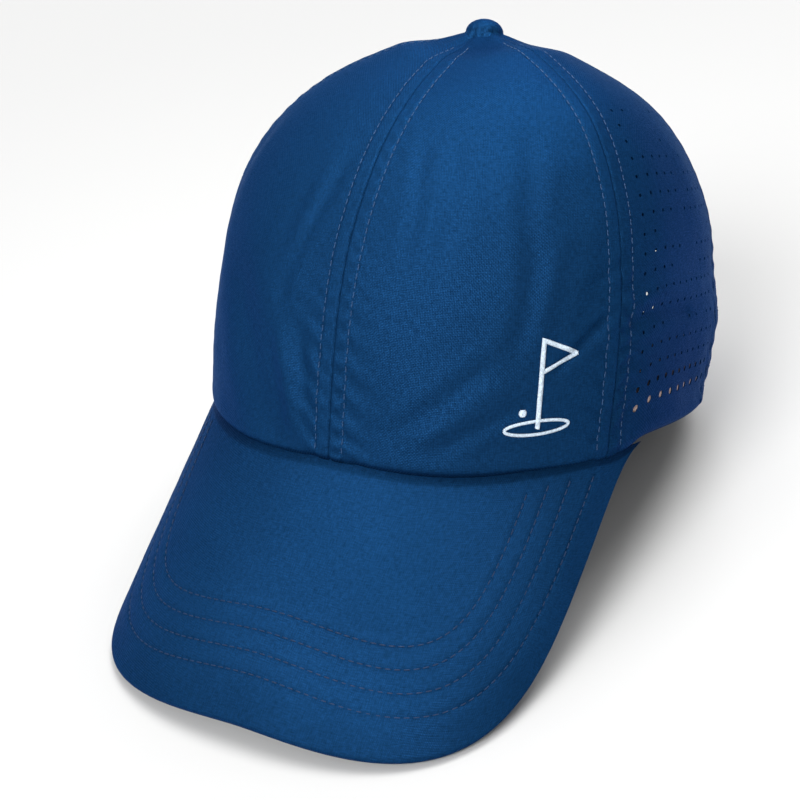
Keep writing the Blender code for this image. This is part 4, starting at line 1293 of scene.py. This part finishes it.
def satin(place, starts, ends, crown_height):
    """Satin threads between two lists of flat spots, raised in the middle of each thread."""
    across = np.linspace(0, 1, 7)[:, None]
    flat = starts[:, None] + (ends - starts)[:, None] * across
    points, normals = place(flat)
    length = np.linalg.norm(ends - starts, axis=1)[:, None]
    arch = np.sin(math.pi * across[:, 0]) ** 0.6 * np.minimum(crown_height, 0.35 * length)
    points = points + (arch + 0.12 * MM)[..., None] * normals
    widths = np.full(arch.shape, 0.20 * MM) * (1 - 0.3 * (2 * across[:, 0] - 1) ** 4)
    return points, normals, widths


def stroke(place, route, width):
    """A satin stroke along a route of flat spots, its threads a little slanted."""
    runs = run_along(route)
    even = np.arange(0, runs[-1], SATIN_PITCH)
    middle = np.stack([np.interp(even, runs, route[:, k]) for k in range(2)], -1)
    along = unit(np.gradient(middle, axis=0))
    side = left_of(along) + SATIN_SLANT * along
    half = np.broadcast_to(width, even.shape)[:, None] / 2
    return satin(place, middle - half * side, middle + half * side, STROKE_RISE)


def build_motif():
    """Embroidered flagstick: stick, pennant, ball and the edge of the green."""
    first, last, foot, top = motif_place()
    centre = first + (last - first) * STICK_SHARE
    line = Meridian(centre)

    def place(flat):
        level = level_at_height(centre, foot + flat[..., 1])
        angle = centre + flat[..., 0] / line.radius(line.run(level))
        return worn_cloth(angle, level)
    tall = top - foot
    stick = np.array([(0, STICK_FOOT), (0, tall)])
    turns = np.linspace(0, 2 * math.pi, 90)
    wide, deep = GREEN_REACH
    green = np.stack([wide * np.cos(turns), GREEN_MIDDLE + deep * np.sin(turns)], -1)
    pennant = np.array(PENNANT) + (0, tall)
    heights = np.linspace(-1, 1, 9)[1:-1] * BALL_RADIUS
    reach = np.sqrt(BALL_RADIUS ** 2 - heights ** 2)
    left, right = (np.stack([BALL_MIDDLE[0] + side * reach, BALL_MIDDLE[1] + heights], -1)
                   for side in (-1, 1))
    parts = [stroke(place, stick, STICK_WIDTH), stroke(place, green, GREEN_WIDTH),
             stroke(place, pennant, PENNANT_WIDTH), satin(place, left, right, BALL_RISE)]
    motif = tubes("embroidered_flagstick", *[np.concatenate(p) for p in zip(*parts)], SATIN_LOOK)
    finish_piece(motif, "embroidery_thread", "embroidered_motif")


# ---------------------------------------------------------------- back opening, strap and tab

def arch_spot(turn):
    return ARCH_HALF_ANGLE * np.sin(turn), ARCH_HEIGHT * np.abs(np.cos(turn)) ** (2 / ARCH_POWER)


def binding_point(turn, over, depth):
    """A point of the binding: over is the distance in from the opening's edge."""
    off_centre, height = arch_spot(turn)
    radius = float(Meridian(math.pi).radius(12 * MM))
    aside, up = np.sin(turn) * ARCH_HEIGHT, np.cos(turn) * ARCH_HALF_ANGLE * radius
    length = np.hypot(aside, up)
    angle = math.pi - off_centre - over * aside / length / radius
    level = np.maximum(level_at_height(angle, height + over * up / length), 0)
    return crown_point(angle, level, depth - soft_relief(angle, level)), angle, level


def build_arch_binding():
    """Folded strip round the edge of the back opening."""
    turns = np.linspace(-BINDING_HALF_TURN, BINDING_HALF_TURN, 260)[:, None]
    fold = np.linspace(-math.pi / 2, math.pi / 2, 11)
    flat = np.linspace(1, 0, 16)[:-1]
    level, none = np.ones(len(flat)), np.zeros(len(flat))
    middle, half = 0.45 * MM, 0.75 * MM
    over = np.concatenate([BINDING_WIDTH * flat, -half * np.cos(fold) * 0.8, BINDING_WIDTH * flat[::-1]])
    depth = np.concatenate([(middle - half) * level, middle + half * np.sin(fold),
                            (middle + half) * level])
    puff = np.zeros(len(over))
    puff[:len(flat)] = 0.25 * MM * np.sin(math.pi * flat) ** 0.7
    wave = 0.10 * MM * np.sin(turns * 95) * (over > 0)
    outer = binding_point(turns, over + 0 * turns, depth - puff - wave)[0]
    slack = BINDING_CLOTH * np.concatenate([level, np.sin(-fold), -level])
    shift = BINDING_CLOTH * np.concatenate([none, np.cos(fold), none])
    inner = binding_point(turns, over + shift + 0 * turns, depth - puff - wave + slack)[0]
    spots = pair(turns * BINDING_ARC_RADIUS, 0.5 * MM * np.arange(1, len(over) + 1))
    binding = cloth("back_arch_binding_piece", outer, inner, spots, [CROWN_LOOK])
    finish_piece(binding, "crown_fabric", "back_arch_binding")
    rows = []
    length = 2 * BINDING_STITCHED_HALF_TURN * BINDING_ARC_RADIUS
    for over in BINDING_STITCH_ROWS:
        def place(run, over=over):
            turn = run / BINDING_ARC_RADIUS - BINDING_STITCHED_HALF_TURN
            point, angle, level = binding_point(turn, over + 0 * run, -0.62 * MM)
            return point, crown_normal(angle, level)
        rows.append(stitch_row(place, length, 3.4 * MM, 2.7 * MM))
    sew("arch_stitches", rows, THREAD_LOOK)


def strap_point(along, out, height):
    """A point round the strap's axis: along its arc from the centre back, out from its middle."""
    along, out, height = np.broadcast_arrays(along, out, height)
    radius = STRAP_RADIUS + out
    turn = along / STRAP_RADIUS
    return np.stack([radius * np.sin(turn), STRAP_CENTRE_Y + radius * np.cos(turn), height], -1)


def ribbon_section(width, thickness):
    """Rounded outline of a ribbon: (out, height) round its middle."""
    half = thickness / 2
    bend = np.linspace(-math.pi / 2, math.pi / 2, 7)
    rise = np.linspace(-1, 1, 14)[1:-1] * (width / 2 - half)
    right = np.stack([half * np.cos(bend), half * np.sin(bend)], -1)
    top = np.stack([right[:, 1], width / 2 - half + right[:, 0]], -1)[::-1]
    bottom = np.stack([right[:, 1], -(width / 2 - half) - right[:, 0]], -1)
    side_out = np.stack([np.full(len(rise), half), rise], -1)
    side_in = np.stack([np.full(len(rise), -half), rise[::-1]], -1)
    return np.concatenate([bottom, side_out, top, side_in])


def build_strap():
    """Folded strap, stitched along both edges."""
    section = ribbon_section(STRAP_WIDTH, STRAP_THICKNESS)
    along = np.linspace(*STRAP_ENDS, 240)[:, None] * STRAP_RADIUS
    height = STRAP_LOW + STRAP_WIDTH / 2 + section[:, 1]
    row_height = STRAP_WIDTH / 2 - STRAP_STITCHES_IN
    swell = 1 - 0.22 * bell(np.abs(section[:, 1]) - row_height, 0.8 * MM)
    rings = strap_point(along, section[:, 0] * swell, height)
    strap = skin("strap_piece", rings, pair(along, run_along(section)), STRAP_LOOK)
    finish_piece(strap, "strap_fabric", "strap", body="strap")
    length = (STRAP_ENDS[1] - STRAP_ENDS[0]) * STRAP_RADIUS
    rows = []
    for edge in (-1, 1):
        for face in (-1, 1):
            def place(run, edge=edge, face=face):
                at = STRAP_ENDS[0] * STRAP_RADIUS + run
                high = STRAP_LOW + STRAP_WIDTH / 2 + edge * row_height
                point = strap_point(at, face * 0.46 * STRAP_THICKNESS, high + 0 * run)
                turn = at / STRAP_RADIUS
                normal = np.stack([np.sin(turn), np.cos(turn), 0 * turn], -1)
                return point, face * normal
            rows.append(stitch_row(place, length, TIGHT_PITCH, TIGHT_LENGTH, start=2 * MM))
    sew("strap_stitches", rows, THREAD_LOOK, body="strap")


def build_tab():
    """Cloth tab beside the opening, hooked round the buckle's bar."""
    bar = BUCKLE_ANGLE * STRAP_RADIUS + TAB_BAR_ALONG
    end = TAB_END * STRAP_RADIUS
    leaf = 1.14 * MM
    radius = PIN_RADIUS + 0.55 * MM
    turns = np.linspace(210, -88, 40) * DEG
    loop = np.stack([bar + radius * np.cos(turns), PIN_OUT + radius * np.sin(turns)], -1)
    run_in = np.stack([np.linspace(end, bar - 2.6 * MM, 60), np.full(60, leaf)], -1)
    route = np.concatenate([run_in, loop])
    side = left_of(unit(np.gradient(route, axis=0)))
    width = STRAP_WIDTH - 0.8 * MM
    section = ribbon_section(width, TAB_CLOTH)
    flat = route[:, None] + side[:, None] * section[None, :, :1]
    height = STRAP_LOW + STRAP_WIDTH / 2 + section[:, 1]
    rings = strap_point(flat[..., 0], flat[..., 1], height)
    runs = run_along(route)
    spots = pair(runs[:, None], run_along(section))
    tab = skin("buckle_tab_piece", rings[:, ::-1], spots, STRAP_LOOK)
    finish_piece(tab, "strap_fabric", "buckle_tab")


def bevelled(node, look, body):
    """A copy of a metal piece with its edges rounded over."""
    mesh = frame["nodes"][node].data.copy()
    work = bmesh.new()
    work.from_mesh(mesh)
    bmesh.ops.remove_doubles(work, verts=work.verts, dist=0.01 * MM)
    bmesh.ops.dissolve_limit(work, angle_limit=1 * DEG, verts=work.verts, edges=work.edges)
    sharp = [edge for edge in work.edges if edge.is_manifold and edge.calc_face_angle() > 35 * DEG]
    bmesh.ops.bevel(work, geom=sharp, offset=EDGE_ROUND, segments=2, profile=0.6, affect="EDGES",
                    clamp_overlap=True)
    work.to_mesh(mesh)
    work.free()
    set_look(mesh, look)
    mesh.shade_smooth()
    mesh.set_sharp_from_angle(angle=40 * DEG)
    piece = add_object(node + "_piece", mesh)
    even = piece.modifiers.new("even_shading", "WEIGHTED_NORMAL")
    even.keep_sharp = True
    finish_piece(piece, "buckle_metal", node, body=body)


def build_hardware():
    """Buckle with rounded edges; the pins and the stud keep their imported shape."""
    bevelled("buckle_frame", NICKEL_LOOK, "crown")
    bevelled("buckle_lever", NICKEL_LOOK, "buckle_lever")
    plain = {"buckle_lever_pin": NICKEL_LOOK, "buckle_tab_bar": NICKEL_LOOK, "button_stud": STEEL_LOOK}
    for name, look in plain.items():
        set_look(frame["nodes"][name].data, look)


# ---------------------------------------------------------------- stage

def build_camera():
    """Camera in front of the wearer's left, a little above the brim and leaning over."""
    back = direction(CAMERA_AZIMUTH, CAMERA_ELEVATION)
    right = np.array([math.cos(CAMERA_AZIMUTH), math.sin(CAMERA_AZIMUTH), 0])
    up = np.cross(back, right)
    aim = np.array(CAMERA_AIM) + CAMERA_AIM_SHIFT[0] * right + CAMERA_AIM_SHIFT[1] * up
    spot = to_row(aim + CAMERA_DISTANCE * back)
    leaning = right * math.cos(CAMERA_ROLL) + up * math.sin(CAMERA_ROLL)
    rising = up * math.cos(CAMERA_ROLL) - right * math.sin(CAMERA_ROLL)
    axes = np.array([leaning, rising, back]) @ CAP_AXES
    camera = add_object("camera", bpy.data.cameras.new("camera"))
    camera.data.lens = CAMERA_LENS
    camera.data.sensor_width = 36
    camera.matrix_world = Matrix.Translation(spot) @ Matrix(axes.T.tolist()).to_4x4()
    bpy.context.scene.camera = camera


def add_sun(name, azimuth, elevation, spread, strength):
    """A distant soft light."""
    data = bpy.data.lights.new(name, "SUN")
    data.angle = spread
    data.energy = strength * math.pi
    back = direction(azimuth, elevation)
    side = unit(np.cross((0, 0, 1), back))
    turn = Matrix(np.array([side, np.cross(back, side), back]).T.tolist())
    add_object(name, data).matrix_world = Matrix.Translation(back) @ turn.to_4x4()


def add_softbox():
    """A round softbox hanging close over the crown."""
    data = bpy.data.lights.new("softbox", "AREA")
    data.shape = "DISK"
    data.size = SOFTBOX_SIZE
    data.energy = SOFTBOX_POWER
    add_object("softbox", data).location = (0, 0, SOFTBOX_HEIGHT)


def build_stage():
    """Pale floor, white surroundings and soft lights."""
    mesh = bpy.data.meshes.new("floor")
    corners = [(x * FLOOR_REACH, y * FLOOR_REACH, 0) for x, y in ((-1, -1), (1, -1), (1, 1), (-1, 1))]
    mesh.from_pydata(corners, [], [(0, 1, 2, 3)])
    mesh.materials.append(floor_look())
    add_object("floor", mesh)
    world = bpy.data.worlds.new("studio")
    bpy.context.scene.world = world
    world.use_nodes = True
    background = world.node_tree.nodes["Background"]
    background.inputs["Color"].default_value = (1, 1, 1, 1)
    background.inputs["Strength"].default_value = WORLD_LIGHT
    for sun in SUNS:
        add_sun(*sun)
    add_softbox()
    bpy.context.scene.view_settings.view_transform = "Standard"


build_camera()
build_stage()
build_front_panels()
build_side_panels()
build_back_panels()
build_crown_stitches()
build_interfacings()
build_seam_tapes()
build_sweatband()
build_label()
build_foam()
build_brim()
build_brim_stitches()
build_button()
build_motif()
build_arch_binding()
build_strap()
build_tab()
build_hardware()
